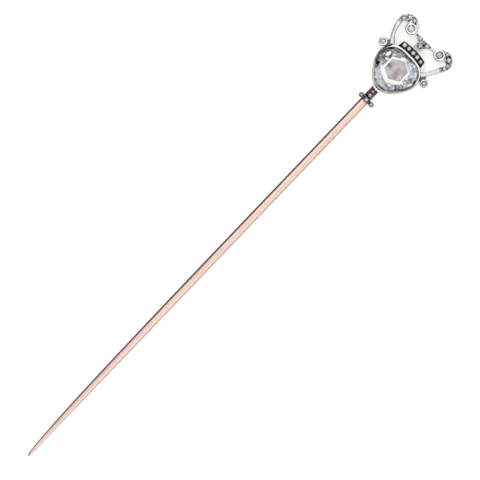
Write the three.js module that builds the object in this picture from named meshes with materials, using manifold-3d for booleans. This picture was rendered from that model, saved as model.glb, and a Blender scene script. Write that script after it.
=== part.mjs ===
// An antique hat pin: a tapered rose-gold stem that carries a small jewelled urn.
// The urn's bowl is one large rose-cut stone in a closed collet. Its lip, foot, neck, two scroll
// handles and crest are plates of silver, set with small rose-cut stones and backed with gold.
//
// Millimetres. The pin lies on its back: +Y runs up the stem towards the head, +Z faces the viewer.
// The origin is on the flat back of the head, on the stem's centre line, level with the bowl's centre.
import * as THREE from "three";
import { ConvexGeometry } from "three/addons/geometries/ConvexGeometry.js";
import { mergeVertices } from "three/addons/utils/BufferGeometryUtils.js";
import Module from "manifold-3d";

const wasm = await Module();
wasm.setup();

// Driving dimensions.
const GAP = 0.03; // left between two pieces that are soldered or set together
const HEAD_LEAN = THREE.MathUtils.degToRad(2.2); // the head leans this far to the right of the stem
const NECK_Y = -5.8; // the head leans about this point of the neck

const STEM = {
  radius: 0.71,
  tipY: -90.8,
  topY: -4.27,
  taperShare: 0.62, // the radius lost at the very tip, before the point is rounded
  taperLength: 14,
  pointLength: 1,
  bend: 0.33, // the tip curves this far towards +X
  bendLength: 9,
  flatZ: 1.12, // filed flat at this height, from flatY up, to seat the foot and the neck
  flatY: -7.3,
  sides: 20,
  rings: 22,
};

// The bowl's outline is a circle pushed out and in by four harmonics, so that it is broad at the
// shoulders, flat under the lip and narrow at the foot.
const BOWL = { radius: 4.16, lift: 0.15, width: 0.11, shoulders: 0.32, corners: -0.034, segments: 72 };
const BACK_PLATE_TOP = 0.32;
const COLLET = { rimZ: 2.0, girdleZ: 1.58, seatZ: 1.25, flare: 0.22, lip: 0.5, stoneInset: 0.43, wall: 0.62 };
const FOIL = { topZ: 1.19, thickness: 0.06 };
const BIG_STONE = {
  baseZ: 1.28,
  girdleZ: 1.5,
  table: [0.03, 0.23], // the middle of the six facets about the apex
  tableRadius: 2.08,
  tableZ: 2.86,
  apexZ: 3.34,
  turn: THREE.MathUtils.degToRad(2),
};

// Heights of the sawn plates: gold backing below, silver above.
const PLATE = { backingZ: 0.98, silverZ: 1.25, topZ: 1.95 };
const LIP = { halfTop: 2.54, halfBottom: 2.72, topY: 4.77, rise: 0.27, stoneRadius: 0.37, backingZ: 0.6 };
const LIP_STONES = [
  [-1.97, 4.36],
  [-1.0, 4.45],
  [0.02, 4.46],
  [1.0, 4.42],
  [2.0, 4.3],
];
const NECK = { halfWidth: 0.53, lowY: -6.38, highY: -4.52, topZ: 1.78 };
const NECK_STONES = [
  [0, -5.08, 0.36],
  [0.08, -5.86, 0.36],
];
const FOOT = {
  x: 0.14,
  y: -6.84,
  knobX: 1.21,
  knobRadius: 0.46,
  halfHeight: 0.4,
  backingTop: 1.33,
  topZ: 1.98,
};
const FOOT_STONES = [
  [FOOT.x - FOOT.knobX, FOOT.y, 0.28],
  [FOOT.x, FOOT.y, 0.28],
  [FOOT.x + FOOT.knobX, FOOT.y, 0.28],
];
const COLLAR = { halfBottom: 0.62, halfTop: 0.85, lowY: -4.48, highY: -4.13, topZ: 1.7 };
const CREST = { topY: 7.45, armY: 6.98, armX: 2.45, waistX: 0.78, waistY: 5.75, baseX: 0.8, baseY: 5.09 };
const CREST_STONES = [
  [-0.93, 7.0, 0.38],
  [0.04, 6.98, 0.26],
  [0.86, 6.92, 0.38],
  [-0.04, 6.18, 0.46],
];

// The two handles are alike but not the same. Each is given as if it stood on the right.
const HANDLES = [
  {
    name: "left",
    side: -1,
    ring: [3.19, 7.12],
    arc: { x: 4.06, y: 7.1, radius: 1.98, start: -19, end: 168, straight: 0 },
    wire: [
      [5.56, 6.6],
      [5.14, 5.08],
      [4.44, 3.86],
      [3.6, 2.95],
    ],
    knop: [5.03, 2.21, 0.8],
    stones: [
      [-11, 1.52, 0.27],
      [17, 1.37, 0.42],
      [62, 1.41, 0.46],
      [102, 1.44, 0.34],
    ],
    straightStones: [],
  },
  {
    name: "right",
    side: 1,
    ring: [3.4, 7.41],
    arc: { x: 4.4, y: 7.0, radius: 1.88, start: -30, end: 160, straight: 0.86 },
    wire: [
      [5.3, 5.8],
      [4.7, 4.46],
      [4.14, 3.5],
      [3.5, 2.7],
    ],
    knop: [5.02, 2.15, 0.74],
    stones: [
      [-26, 1.4, 0.33],
      [6, 1.32, 0.38],
      [50, 1.22, 0.42],
      [93, 1.46, 0.29],
    ],
    straightStones: [[0.62, 0.25]],
  },
];
const RING = { radius: 1.04, stoneRadius: 0.7, lowZ: 0.98, highZ: 2.2 };
const KNOP = { stoneShare: 0.62, lowZ: 0.75, highZ: 2.05 };
const WIRE = { halfWidth: 0.42, lowZ: 1.0, highZ: 1.85 };
const ARC_WIDTH = { start: 0.9, filled: 1.6, from: -5, to: 45 }; // widens between these angles
const SHOULDER = { lowZ: 0.85, highZ: 1.75 };
const SEAT_DEPTH = 0.16; // how far a small stone is sunk into its plate
const SMALL_STONE_RISE = 0.3; // a small stone's crown, as a share of its diameter

const MATERIALS = {
  rose_gold: new THREE.MeshStandardMaterial({ color: 0xe3a994, roughness: 0.2, metalness: 1 }),
  backing_gold: new THREE.MeshStandardMaterial({ color: 0xc98f62, roughness: 0.3, metalness: 1 }),
  silver: new THREE.MeshStandardMaterial({ color: 0xd8d9d4, roughness: 0.25, metalness: 1 }),
  dark_silver: new THREE.MeshStandardMaterial({ color: 0x4b4c4f, roughness: 0.45, metalness: 1 }),
  foil: new THREE.MeshStandardMaterial({ color: 0xe6e2df, roughness: 0.15, metalness: 1 }),
  diamond: new THREE.MeshStandardMaterial({ color: 0xdfe3ea, roughness: 0.03, metalness: 0 }),
};

const degrees = THREE.MathUtils.degToRad;

// ---- Solids ----

// A closed geometry as a manifold-3d solid.
function solidOf(geometry) {
  const bare = geometry.clone();
  bare.deleteAttribute("normal");
  bare.deleteAttribute("uv");
  const merged = mergeVertices(bare);
  return new wasm.Manifold(
    new wasm.Mesh({
      numProp: 3,
      vertProperties: merged.attributes.position.array,
      triVerts: new Uint32Array(merged.index.array),
    }),
  );
}

// A manifold-3d solid as a geometry with flat faces.
function geometryOf(solid) {
  const { vertProperties, triVerts } = solid.getMesh();
  const geometry = new THREE.BufferGeometry()
    .setAttribute("position", new THREE.BufferAttribute(vertProperties, 3))
    .setIndex(new THREE.BufferAttribute(triVerts, 1))
    .toNonIndexed();
  geometry.computeVertexNormals();
  return geometry;
}

const cut = (geometry, ...cutters) =>
  geometryOf(cutters.reduce((solid, cutter) => solid.subtract(solidOf(cutter)), solidOf(geometry)));
const join = (geometry, ...others) =>
  geometryOf(others.reduce((solid, other) => solid.add(solidOf(other)), solidOf(geometry)));
const common = (a, b) => geometryOf(solidOf(a).intersect(solidOf(b)));

// A flat plate of an outline, from one height to another.
function plate(points, lowZ, highZ) {
  const shape = new THREE.Shape(points.map(([x, y]) => new THREE.Vector2(x, y)));
  const geometry = new THREE.ExtrudeGeometry(shape, { depth: highZ - lowZ, bevelEnabled: false });
  return geometry.translate(0, 0, lowZ);
}

// A solid turned about an upright axis at (x, y), from a profile of [radius, z] points.
function turned(profile, x, y, segments) {
  const points = profile.map(([radius, z]) => new THREE.Vector2(radius, z));
  const geometry = new THREE.LatheGeometry(points, segments);
  return geometry.rotateX(Math.PI / 2).translate(x, y, 0);
}

function rod(x, y, radius, lowZ, highZ, segments = 20) {
  return turned(
    [
      [0, lowZ],
      [radius, lowZ],
      [radius, highZ],
      [0, highZ],
    ],
    x,
    y,
    segments,
  );
}

function box(lowX, highX, lowY, highY, lowZ, highZ) {
  return new THREE.BoxGeometry(highX - lowX, highY - lowY, highZ - lowZ).translate(
    (lowX + highX) / 2,
    (lowY + highY) / 2,
    (lowZ + highZ) / 2,
  );
}

// ---- The bowl ----

function bowlRadius(angle) {
  const { radius, lift, width, shoulders, corners } = BOWL;
  return (
    radius +
    lift * Math.sin(angle) +
    width * Math.cos(2 * angle) +
    shoulders * Math.sin(3 * angle) +
    corners * Math.cos(4 * angle)
  );
}

// A turned solid whose round stretches are pushed out to the bowl's outline. A profile point is
// [distance outside the outline, z], or [null, z] on the axis. The profile runs anticlockwise.
function bowlShaped(profile) {
  const rings = profile.map(([outside, z]) => [outside === null ? 0 : BOWL.radius + outside, z]);
  const geometry = turned(rings, 0, 0, BOWL.segments);
  const position = geometry.getAttribute("position");
  for (let i = 0; i < position.count; i++) {
    const point = new THREE.Vector2(position.getX(i), position.getY(i));
    if (point.length() < BOWL.radius / 2) continue;
    point.setLength(point.length() + bowlRadius(point.angle()) - BOWL.radius);
    position.setXY(i, point.x, point.y);
  }
  return geometry;
}

const bowlDisc = (outside, lowZ, highZ) =>
  bowlShaped([
    [null, lowZ],
    [outside, lowZ],
    [outside, highZ],
    [null, highZ],
  ]);

// The silver band that holds the big stone, with a ledge under the stone and a lip over its edge.
function colletGeometry() {
  const { rimZ, girdleZ, seatZ, flare, lip, stoneInset, wall } = COLLET;
  const girdle = -(stoneInset - GAP);
  return bowlShaped([
    [0, BACK_PLATE_TOP + GAP],
    [-flare, rimZ - 0.28],
    [-flare - 0.08, rimZ - 0.04],
    [-flare - 0.16, rimZ],
    [-lip, rimZ - 0.1],
    [girdle, girdleZ],
    [girdle, seatZ],
    [-wall, seatZ],
    [-wall, BACK_PLATE_TOP + GAP],
    [0, BACK_PLATE_TOP + GAP],
  ]);
}

// The foil is pressed into a shallow cup, which stands mouth down on the back plate.
function foilGeometry() {
  const outside = -COLLET.wall - GAP;
  const outer = bowlDisc(outside, BACK_PLATE_TOP + GAP, FOIL.topZ);
  const hollow = bowlDisc(outside - FOIL.thickness, 0, FOIL.topZ - FOIL.thickness);
  return cut(outer, hollow);
}

// Twenty-four facets: six about the apex, then eighteen down to the girdle. The crown's corners
// stand a little outside the girdle, so that the bowl's outline cuts every facet cleanly.
function bigStoneGeometry() {
  const { baseZ, girdleZ, table, tableRadius, tableZ, apexZ, turn } = BIG_STONE;
  const girdleOutside = -COLLET.stoneInset;
  const overhang = 1.04;
  const points = [new THREE.Vector3(...table, apexZ)];
  for (let i = 0; i < 12; i++) {
    const angle = turn + degrees(90 + 30 * i);
    const [x, y] = [Math.cos(angle), Math.sin(angle)];
    const reach = (bowlRadius(angle) + girdleOutside) * overhang;
    points.push(new THREE.Vector3(reach * x, reach * y, baseZ - 0.2));
    points.push(new THREE.Vector3(reach * x, reach * y, girdleZ - 0.06));
    if (i % 2 === 0) {
      points.push(new THREE.Vector3(table[0] + tableRadius * x, table[1] + tableRadius * y, tableZ));
    }
  }
  return common(new ConvexGeometry(points), bowlDisc(girdleOutside, baseZ, apexZ + 1));
}

// ---- Small stones and their settings ----

// A small rose-cut stone: a flat back, a thin girdle and a crown of six facets round a low point.
function smallStoneGeometry(x, y, radius, baseZ) {
  const girdle = 0.08;
  const rise = 2 * radius * SMALL_STONE_RISE;
  const points = [new THREE.Vector3(x, y, baseZ + girdle + rise)];
  for (let i = 0; i < 12; i++) {
    const angle = degrees(30 * i);
    const ring = (share, z) =>
      new THREE.Vector3(x + share * radius * Math.cos(angle), y + share * radius * Math.sin(angle), z);
    points.push(ring(1, baseZ), ring(1, baseZ + girdle));
    if (i % 2 === 0) points.push(ring(0.55, baseZ + girdle + 0.74 * rise));
  }
  return new ConvexGeometry(points);
}

// The seat that is drilled for a stone from the plate's face.
const seat = (x, y, radius, topZ) => rod(x, y, radius + GAP, topZ - SEAT_DEPTH, topZ + 1, 16);

const stoneBase = (topZ) => topZ - SEAT_DEPTH + GAP;

// A round collet: a tapered tube with a ledge under its stone and a lip over the edge.
function roundCollet(x, y, radius, stoneRadius, lowZ, highZ) {
  const inner = stoneRadius + GAP;
  return turned(
    [
      [radius, lowZ],
      [radius - 0.08, highZ - 0.3],
      [radius - 0.16, highZ - 0.04],
      [inner + 0.02, highZ],
      [inner, highZ - 0.08],
      [inner, highZ - 0.42],
      [inner - 0.16, highZ - 0.42],
      [inner - 0.16, lowZ],
      [radius, lowZ],
    ],
    x,
    y,
    28,
  );
}

const colletStoneBase = (highZ) => highZ - 0.42 + GAP;

// ---- Plates of the head ----

// The lip bar: a bowed top, and a lower side that follows the bowl.
function lipOutline() {
  const { halfTop, halfBottom, topY, rise } = LIP;
  const points = [];
  const steps = 10;
  for (let i = 0; i <= steps; i++) {
    const share = (2 * i) / steps - 1;
    points.push([halfTop * share * -1, topY + rise * (1 - share * share)]);
  }
  for (let i = 0; i <= steps; i++) {
    const x = halfBottom * ((2 * i) / steps - 1);
    points.push([x, bowlTopAt(x) + GAP]);
  }
  return points;
}

// The height of the bowl's outline above a point x of its width.
function bowlTopAt(x) {
  let angle = Math.PI / 2;
  for (let i = 0; i < 30; i++) angle = Math.acos(THREE.MathUtils.clamp(x / bowlRadius(angle), -1, 1));
  return bowlRadius(angle) * Math.sin(angle);
}

// The crest: a triangular plate with hollow sides, on a short stalk, with an arm to each scroll.
function crestOutline() {
  const { topY, armY, armX, waistX, waistY, baseX, baseY } = CREST;
  const side = new THREE.CubicBezierCurve(
    new THREE.Vector2(armX, armY),
    new THREE.Vector2(1.25, 6.95),
    new THREE.Vector2(0.82, 6.4),
    new THREE.Vector2(waistX, waistY),
  );
  const half = [...side.getPoints(7).map((p) => [p.x, p.y]), [baseX, baseY]];
  const mirrored = half.map(([x, y]) => [-x, y]);
  return [[-armX, topY], ...mirrored, ...half.slice().reverse(), [armX, topY]];
}

function arcWidth(angle) {
  const share = THREE.MathUtils.smoothstep(angle, ARC_WIDTH.from, ARC_WIDTH.to);
  return THREE.MathUtils.lerp(ARC_WIDTH.start, ARC_WIDTH.filled, share);
}

// The point of a handle's arc at an angle and a distance from its centre, on that handle's side.
function arcPoint({ side, arc }, angle, radius) {
  const a = degrees(angle);
  return [side * (arc.x + radius * Math.cos(a)), arc.y + radius * Math.sin(a)];
}

// The straight stretch that runs on from an arc's start towards the wire.
function straightPoint(handle, radius, distance) {
  const a = degrees(handle.arc.start);
  const [x, y] = arcPoint(handle, handle.arc.start, radius);
  return [x + handle.side * distance * Math.sin(a), y - distance * Math.cos(a)];
}

// The band of a handle's arc, with its straight stretch, grown on every side by the given amount.
function arcOutline(handle, grow = 0) {
  const { start, end, straight } = handle.arc;
  const radius = handle.arc.radius + grow;
  const steps = 20;
  const angles = Array.from({ length: steps + 1 }, (_, i) => start + ((end - start) * i) / steps);
  const outer = angles.map((a) => arcPoint(handle, a, radius));
  const inner = angles.map((a) => arcPoint(handle, a, radius - arcWidth(a) - 2 * grow)).reverse();
  const startLength = straight + grow;
  if (startLength === 0) return [...outer, ...inner];
  const innerStart = radius - ARC_WIDTH.start - 2 * grow;
  return [
    straightPoint(handle, radius, startLength),
    ...outer,
    ...inner,
    straightPoint(handle, innerStart, startLength),
  ];
}

// A ribbon of even width along a smooth line through the points.
function ribbonOutline(points, halfWidth) {
  const line = new THREE.SplineCurve(points.map(([x, y]) => new THREE.Vector2(x, y)));
  const steps = 10;
  const edges = [1, -1].map((sign) =>
    Array.from({ length: steps + 1 }, (_, i) => {
      const middle = line.getPoint(i / steps);
      const along = line.getTangent(i / steps);
      return [middle.x - sign * halfWidth * along.y, middle.y + sign * halfWidth * along.x];
    }),
  );
  return [...edges[0], ...edges[1].reverse()];
}

// The block in the corner between the bowl, the foot of a handle's wire and its knop.
function shoulderOutline({ side, knop: [knopX, knopY] }) {
  const wall = [];
  for (let angle = 40; angle >= 24; angle -= 4) {
    const reach = bowlRadius(degrees(angle));
    wall.push([side * reach * Math.cos(degrees(angle)), reach * Math.sin(degrees(angle))]);
  }
  return [[side * knopX, knopY], [side * (knopX - 0.42), knopY + 0.84], [side * 4.3, 3.4], ...wall];
}

// ---- Assembly ----

const pin = new THREE.Group();
pin.name = "hat_pin";
const head = new THREE.Group();
head.position.set(NECK_Y * -Math.sin(HEAD_LEAN), NECK_Y * (1 - Math.cos(HEAD_LEAN)), 0);
head.rotation.z = -HEAD_LEAN;
pin.add(head);

function add(group, name, geometry, material) {
  const mesh = new THREE.Mesh(geometry, MATERIALS[material]);
  mesh.name = name;
  group.add(mesh);
}

// A line of small stones, numbered from 1, each at [x, y, radius] in a plate with this face height.
function addStones(name, stones, topZ) {
  stones.forEach(([x, y, radius], i) =>
    add(head, `${name}_stone_${i + 1}`, smallStoneGeometry(x, y, radius, stoneBase(topZ)), "diamond"),
  );
}

const seats = (stones, topZ) => stones.map(([x, y, radius]) => seat(x, y, radius, topZ));

function stemRadius(distance) {
  const { radius, taperShare, taperLength, pointLength } = STEM;
  const taper = 1 - taperShare * Math.exp(-distance / taperLength);
  const point = Math.min(distance / pointLength, 1);
  return radius * taper * Math.sqrt(1 - (1 - point) ** 2);
}

// The stem is turned with its rings closer together near the tip, then bent there.
function addStem() {
  const { radius, tipY, topY, bend, bendLength, flatZ, flatY, sides, rings } = STEM;
  const length = topY - tipY;
  const profile = [];
  for (let i = 0; i <= rings; i++) {
    const distance = length * (i / rings) ** 3;
    profile.push(new THREE.Vector2(stemRadius(distance), tipY + distance));
  }
  profile.push(new THREE.Vector2(0, topY));
  const geometry = new THREE.LatheGeometry(profile, sides, Math.PI / sides).translate(0, 0, radius);
  const position = geometry.getAttribute("position");
  for (let i = 0; i < position.count; i++) {
    const distance = position.getY(i) - tipY;
    position.setX(i, position.getX(i) + bend * Math.exp(-distance / bendLength));
  }
  const front = box(-2, 2, flatY, topY + 1, flatZ, 3);
  add(pin, "stem", cut(geometry, front), "rose_gold");
}

function addBowl() {
  add(head, "back_plate", bowlDisc(0, 0, BACK_PLATE_TOP), "backing_gold");
  add(head, "foil_liner", foilGeometry(), "foil");
  add(head, "bowl_collet", colletGeometry(), "silver");
  add(head, "bowl_stone", bigStoneGeometry(), "diamond");
}

function addLip() {
  const { silverZ, topZ } = PLATE;
  const stones = LIP_STONES.map(([x, y]) => [x, y, LIP.stoneRadius]);
  const front = cut(plate(lipOutline(), silverZ - 0.2, topZ + 0.05), ...seats(stones, topZ + 0.05));
  add(head, "lip_backing", plate(lipOutline(), LIP.backingZ, silverZ - 0.2 - GAP), "backing_gold");
  add(head, "lip_bar", front, "dark_silver");
  addStones("lip", stones, topZ + 0.05);
}

function addFoot() {
  const { halfWidth, lowY, highY, topZ } = NECK;
  const base = STEM.flatZ + GAP;
  const neck = box(-halfWidth, halfWidth, lowY, highY, base, topZ);
  add(head, "neck_plate", cut(neck, ...seats(NECK_STONES, topZ)), "dark_silver");
  addStones("neck", NECK_STONES, topZ);

  const bar = (lowZ, highZ) =>
    join(
      box(
        FOOT.x - FOOT.knobX,
        FOOT.x + FOOT.knobX,
        FOOT.y - FOOT.halfHeight,
        FOOT.y + FOOT.halfHeight,
        lowZ,
        highZ,
      ),
      rod(FOOT.x - FOOT.knobX, FOOT.y, FOOT.knobRadius, lowZ, highZ),
      rod(FOOT.x + FOOT.knobX, FOOT.y, FOOT.knobRadius, lowZ, highZ),
    );
  add(head, "foot_backing", bar(base, FOOT.backingTop), "backing_gold");
  const front = bar(FOOT.backingTop + GAP, FOOT.topZ);
  add(head, "foot_bar", cut(front, ...seats(FOOT_STONES, FOOT.topZ)), "dark_silver");
  addStones("foot", FOOT_STONES, FOOT.topZ);

  const { halfBottom, halfTop } = COLLAR;
  const collar = [
    [-halfBottom, COLLAR.lowY],
    [halfBottom, COLLAR.lowY],
    [halfTop, COLLAR.highY],
    [-halfTop, COLLAR.highY],
  ];
  const bowlRoom = bowlDisc(GAP, 0, 3);
  add(head, "foot_collar", cut(plate(collar, base, COLLAR.topZ), bowlRoom), "silver");
}

function ringRoom({ side, ring: [x, y] }) {
  return rod(side * x, y, RING.radius + GAP, 0, 3, 28);
}

function addCrest() {
  const { backingZ, silverZ, topZ } = PLATE;
  const room = HANDLES.flatMap((handle) => [ringRoom(handle), plate(arcOutline(handle, GAP), 0, 3)]);
  const outline = crestOutline();
  const front = cut(plate(outline, silverZ, topZ), ...room, ...seats(CREST_STONES, topZ));
  add(head, "crest_backing", cut(plate(outline, backingZ, silverZ - GAP), ...room), "backing_gold");
  add(head, "crest_plate", front, "silver");
  addStones("crest", CREST_STONES, topZ);
}

function addCollet(name, x, y, radius, stoneRadius, lowZ, highZ) {
  add(head, `${name}_collet`, roundCollet(x, y, radius, stoneRadius, lowZ, highZ), "silver");
  add(head, `${name}_stone`, smallStoneGeometry(x, y, stoneRadius, colletStoneBase(highZ)), "diamond");
}

function addHandle(handle) {
  const { name, side, ring, wire, knop } = handle;
  const { backingZ, silverZ, topZ } = PLATE;
  const stones = [
    ...handle.straightStones.map(([distance, radius]) => [
      ...straightPoint(handle, handle.arc.radius - ARC_WIDTH.start / 2, distance),
      radius,
    ]),
    ...handle.stones.map(([angle, radius, size]) => [...arcPoint(handle, angle, radius), size]),
  ];
  const outline = arcOutline(handle);
  const front = cut(plate(outline, silverZ, topZ), ringRoom(handle), ...seats(stones, topZ));
  const backing = cut(plate(outline, backingZ, silverZ - GAP), ringRoom(handle));
  add(head, `${name}_scroll_backing`, backing, "backing_gold");
  add(head, `${name}_scroll`, front, "silver");
  addStones(`${name}_scroll`, stones, topZ);
  addCollet(`${name}_ring`, side * ring[0], ring[1], RING.radius, RING.stoneRadius, RING.lowZ, RING.highZ);

  const [knopX, knopY, knopRadius] = knop;
  const knopStone = knopRadius * KNOP.stoneShare;
  addCollet(`${name}_knop`, side * knopX, knopY, knopRadius, knopStone, KNOP.lowZ, KNOP.highZ);

  const line = wire.map(([x, y]) => [side * x, y]);
  const bowlRoom = bowlDisc(GAP, 0, 3);
  const strip = plate(ribbonOutline(line, WIRE.halfWidth), WIRE.lowZ, WIRE.highZ);
  add(head, `${name}_wire`, cut(strip, plate(arcOutline(handle, GAP), 0, 3), bowlRoom), "silver");

  const knopRoom = rod(side * knopX, knopY, knopRadius + GAP, 0, 3, 28);
  const wireRoom = plate(ribbonOutline(line, WIRE.halfWidth + GAP), 0, 3);
  const block = plate(shoulderOutline(handle), SHOULDER.lowZ, SHOULDER.highZ);
  add(head, `${name}_shoulder`, cut(block, knopRoom, wireRoom, bowlRoom), "dark_silver");
}

addStem();
addBowl();
addLip();
addFoot();
addCrest();
HANDLES.forEach(addHandle);

export default pin;
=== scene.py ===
"""The looks of an antique hat pin: a rose-gold stem carrying a small jewelled urn.

Every piece is modelled in millimetres, in the head's own upright frame, and is then scaled to metres
and leaned with the head. The pin lies on its back: +Y runs up the stem, +Z faces the viewer.
"""

import logging
import math
import random
from collections.abc import Callable, Iterable, Sequence
from dataclasses import dataclass, field, replace
from enum import Enum

import bpy
from mathutils import Matrix, Vector


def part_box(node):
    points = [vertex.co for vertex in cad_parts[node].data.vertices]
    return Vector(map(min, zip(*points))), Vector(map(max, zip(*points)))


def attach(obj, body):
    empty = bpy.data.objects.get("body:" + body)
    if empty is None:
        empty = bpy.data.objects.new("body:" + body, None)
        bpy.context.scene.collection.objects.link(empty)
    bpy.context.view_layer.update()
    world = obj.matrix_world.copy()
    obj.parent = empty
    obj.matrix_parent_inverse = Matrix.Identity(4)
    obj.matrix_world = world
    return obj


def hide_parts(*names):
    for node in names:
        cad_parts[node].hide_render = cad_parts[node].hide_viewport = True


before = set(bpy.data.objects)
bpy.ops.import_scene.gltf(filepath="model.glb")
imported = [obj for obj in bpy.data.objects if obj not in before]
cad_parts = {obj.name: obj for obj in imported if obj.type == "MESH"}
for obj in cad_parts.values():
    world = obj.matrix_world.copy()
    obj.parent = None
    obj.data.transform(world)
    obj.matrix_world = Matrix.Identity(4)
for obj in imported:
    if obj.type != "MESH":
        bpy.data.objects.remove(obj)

log = logging.getLogger("hat_pin")

MM = 0.001
BODY = "root"
FAR = 1e6
NECK_Y = -5.8
HEAD_LEAN = math.radians(2.2)

# From the bottom to the top of the crest's and the scrolls' layers, in millimetres.
GOLD_LAYER = (0.98, 1.23)
SILVER_LAYER = (1.25, 1.95)

Point = tuple[float, float]
Ring = list[tuple[float, float, float]]
Object = bpy.types.Object


class Slot(Enum):
    """The record's material slots, named for each new piece when it is dressed."""

    ROSE_GOLD = "rose_gold"
    BACKING_GOLD = "backing_gold"
    SILVER = "silver"
    DARK_SILVER = "dark_silver"
    DIAMOND = "diamond"


# ---- Shader maths ----


@dataclass(frozen=True)
class Spot:
    """A soft oval patch of a surface, in millimetres, and the tone it takes."""

    x: float
    y: float
    half_width: float
    half_height: float
    tone: float
    turn: float = 0.0
    softness: float = 0.2


class Value:
    """A number that changes over a surface: a node's socket with Python's operators."""

    def __init__(self, shader: "Shader", socket: bpy.types.NodeSocket) -> None:
        """Wraps a socket of the shader's tree."""
        self.shader = shader
        self.socket = socket

    def _maths(self, operation: str, *values: "Value | float") -> "Value":
        """Adds a Math node.

        Args:
            operation: The node's operation.
            values: What its inputs take, in order.

        Returns:
            The node's result.
        """
        return self.shader.value("ShaderNodeMath", {"operation": operation}, dict(enumerate(values)))

    def __add__(self, other: "Value | float") -> "Value":
        """Self plus other."""
        return self._maths("ADD", self, other)

    __radd__ = __add__

    def __sub__(self, other: "Value | float") -> "Value":
        """Self minus other."""
        return self._maths("SUBTRACT", self, other)

    def __rsub__(self, other: float) -> "Value":
        """Other minus self."""
        return self._maths("SUBTRACT", other, self)

    def __mul__(self, other: "Value | float") -> "Value":
        """Self times other."""
        return self._maths("MULTIPLY", self, other)

    __rmul__ = __mul__

    def above(self, low: float, high: float) -> "Value":
        """A smooth step from 0 at low to 1 at high.

        Args:
            low: Where the step starts.
            high: Where the step ends. It may be under low, and the step then falls.

        Returns:
            The step's value, from 0 to 1.
        """
        settings = {"interpolation_type": "SMOOTHSTEP"}
        inputs = {"Value": self, "From Min": low, "From Max": high}
        return self.shader.value("ShaderNodeMapRange", settings, inputs)

    def largest(self, other: "Value | float") -> "Value":
        """The larger of self and other."""
        return self._maths("MAXIMUM", self, other)

    def smallest(self, other: "Value | float") -> "Value":
        """The smaller of self and other."""
        return self._maths("MINIMUM", self, other)


Amount = Value | float
Colour = tuple[float, float, float]
Input = Value | bpy.types.NodeSocket | float | Sequence[float]


class Tree:
    """The node tree of a material or a world."""

    def __init__(self, owner: bpy.types.Material | bpy.types.World) -> None:
        """Empties the owner's node tree.

        Args:
            owner: What the tree belongs to.
        """
        owner.use_nodes = True
        self.tree = owner.node_tree
        self.tree.nodes.clear()

    def node(self, kind: str, settings: dict | None = None, inputs: dict | None = None) -> bpy.types.Node:
        """Adds a node.

        Args:
            kind: The node's type.
            settings: Its properties. A list of stops under "ramp" fills a colour ramp.
            inputs: Values or links for its sockets, by name or number.

        Returns:
            The node.
        """
        node = self.tree.nodes.new(kind)
        for name, setting in (settings or {}).items():
            if name == "ramp":
                self.fill_ramp(node.color_ramp, setting)
            else:
                setattr(node, name, setting)
        for name, given in (inputs or {}).items():
            socket = self._input(node, name)
            if isinstance(given, Value):
                given = given.socket
            if isinstance(given, bpy.types.NodeSocket):
                self.tree.links.new(given, socket)
            else:
                if socket.type == "RGBA" and len(given) == 3:
                    given = (*given, 1.0)
                socket.default_value = given
        return node

    @staticmethod
    def _input(node: bpy.types.Node, name: str | int) -> bpy.types.NodeSocket:
        """The enabled input of this name or number.

        Args:
            node: The node.
            name: The input's name or number.

        Returns:
            The input.
        """
        if isinstance(name, int):
            return node.inputs[name]
        return next(s for s in node.inputs if s.name == name and s.enabled)

    @staticmethod
    def fill_ramp(ramp: bpy.types.ColorRamp, stops: Sequence[tuple[float, Colour]]) -> None:
        """Gives a colour ramp its stops, each a place and a colour.

        Args:
            ramp: The colour ramp.
            stops: Its stops, in order.
        """
        while len(ramp.elements) > 1:
            ramp.elements.remove(ramp.elements[-1])
        for i, (place, colour) in enumerate(stops):
            element = ramp.elements[0] if i == 0 else ramp.elements.new(place)
            element.position = place
            element.color = (*colour, 1.0)


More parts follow.
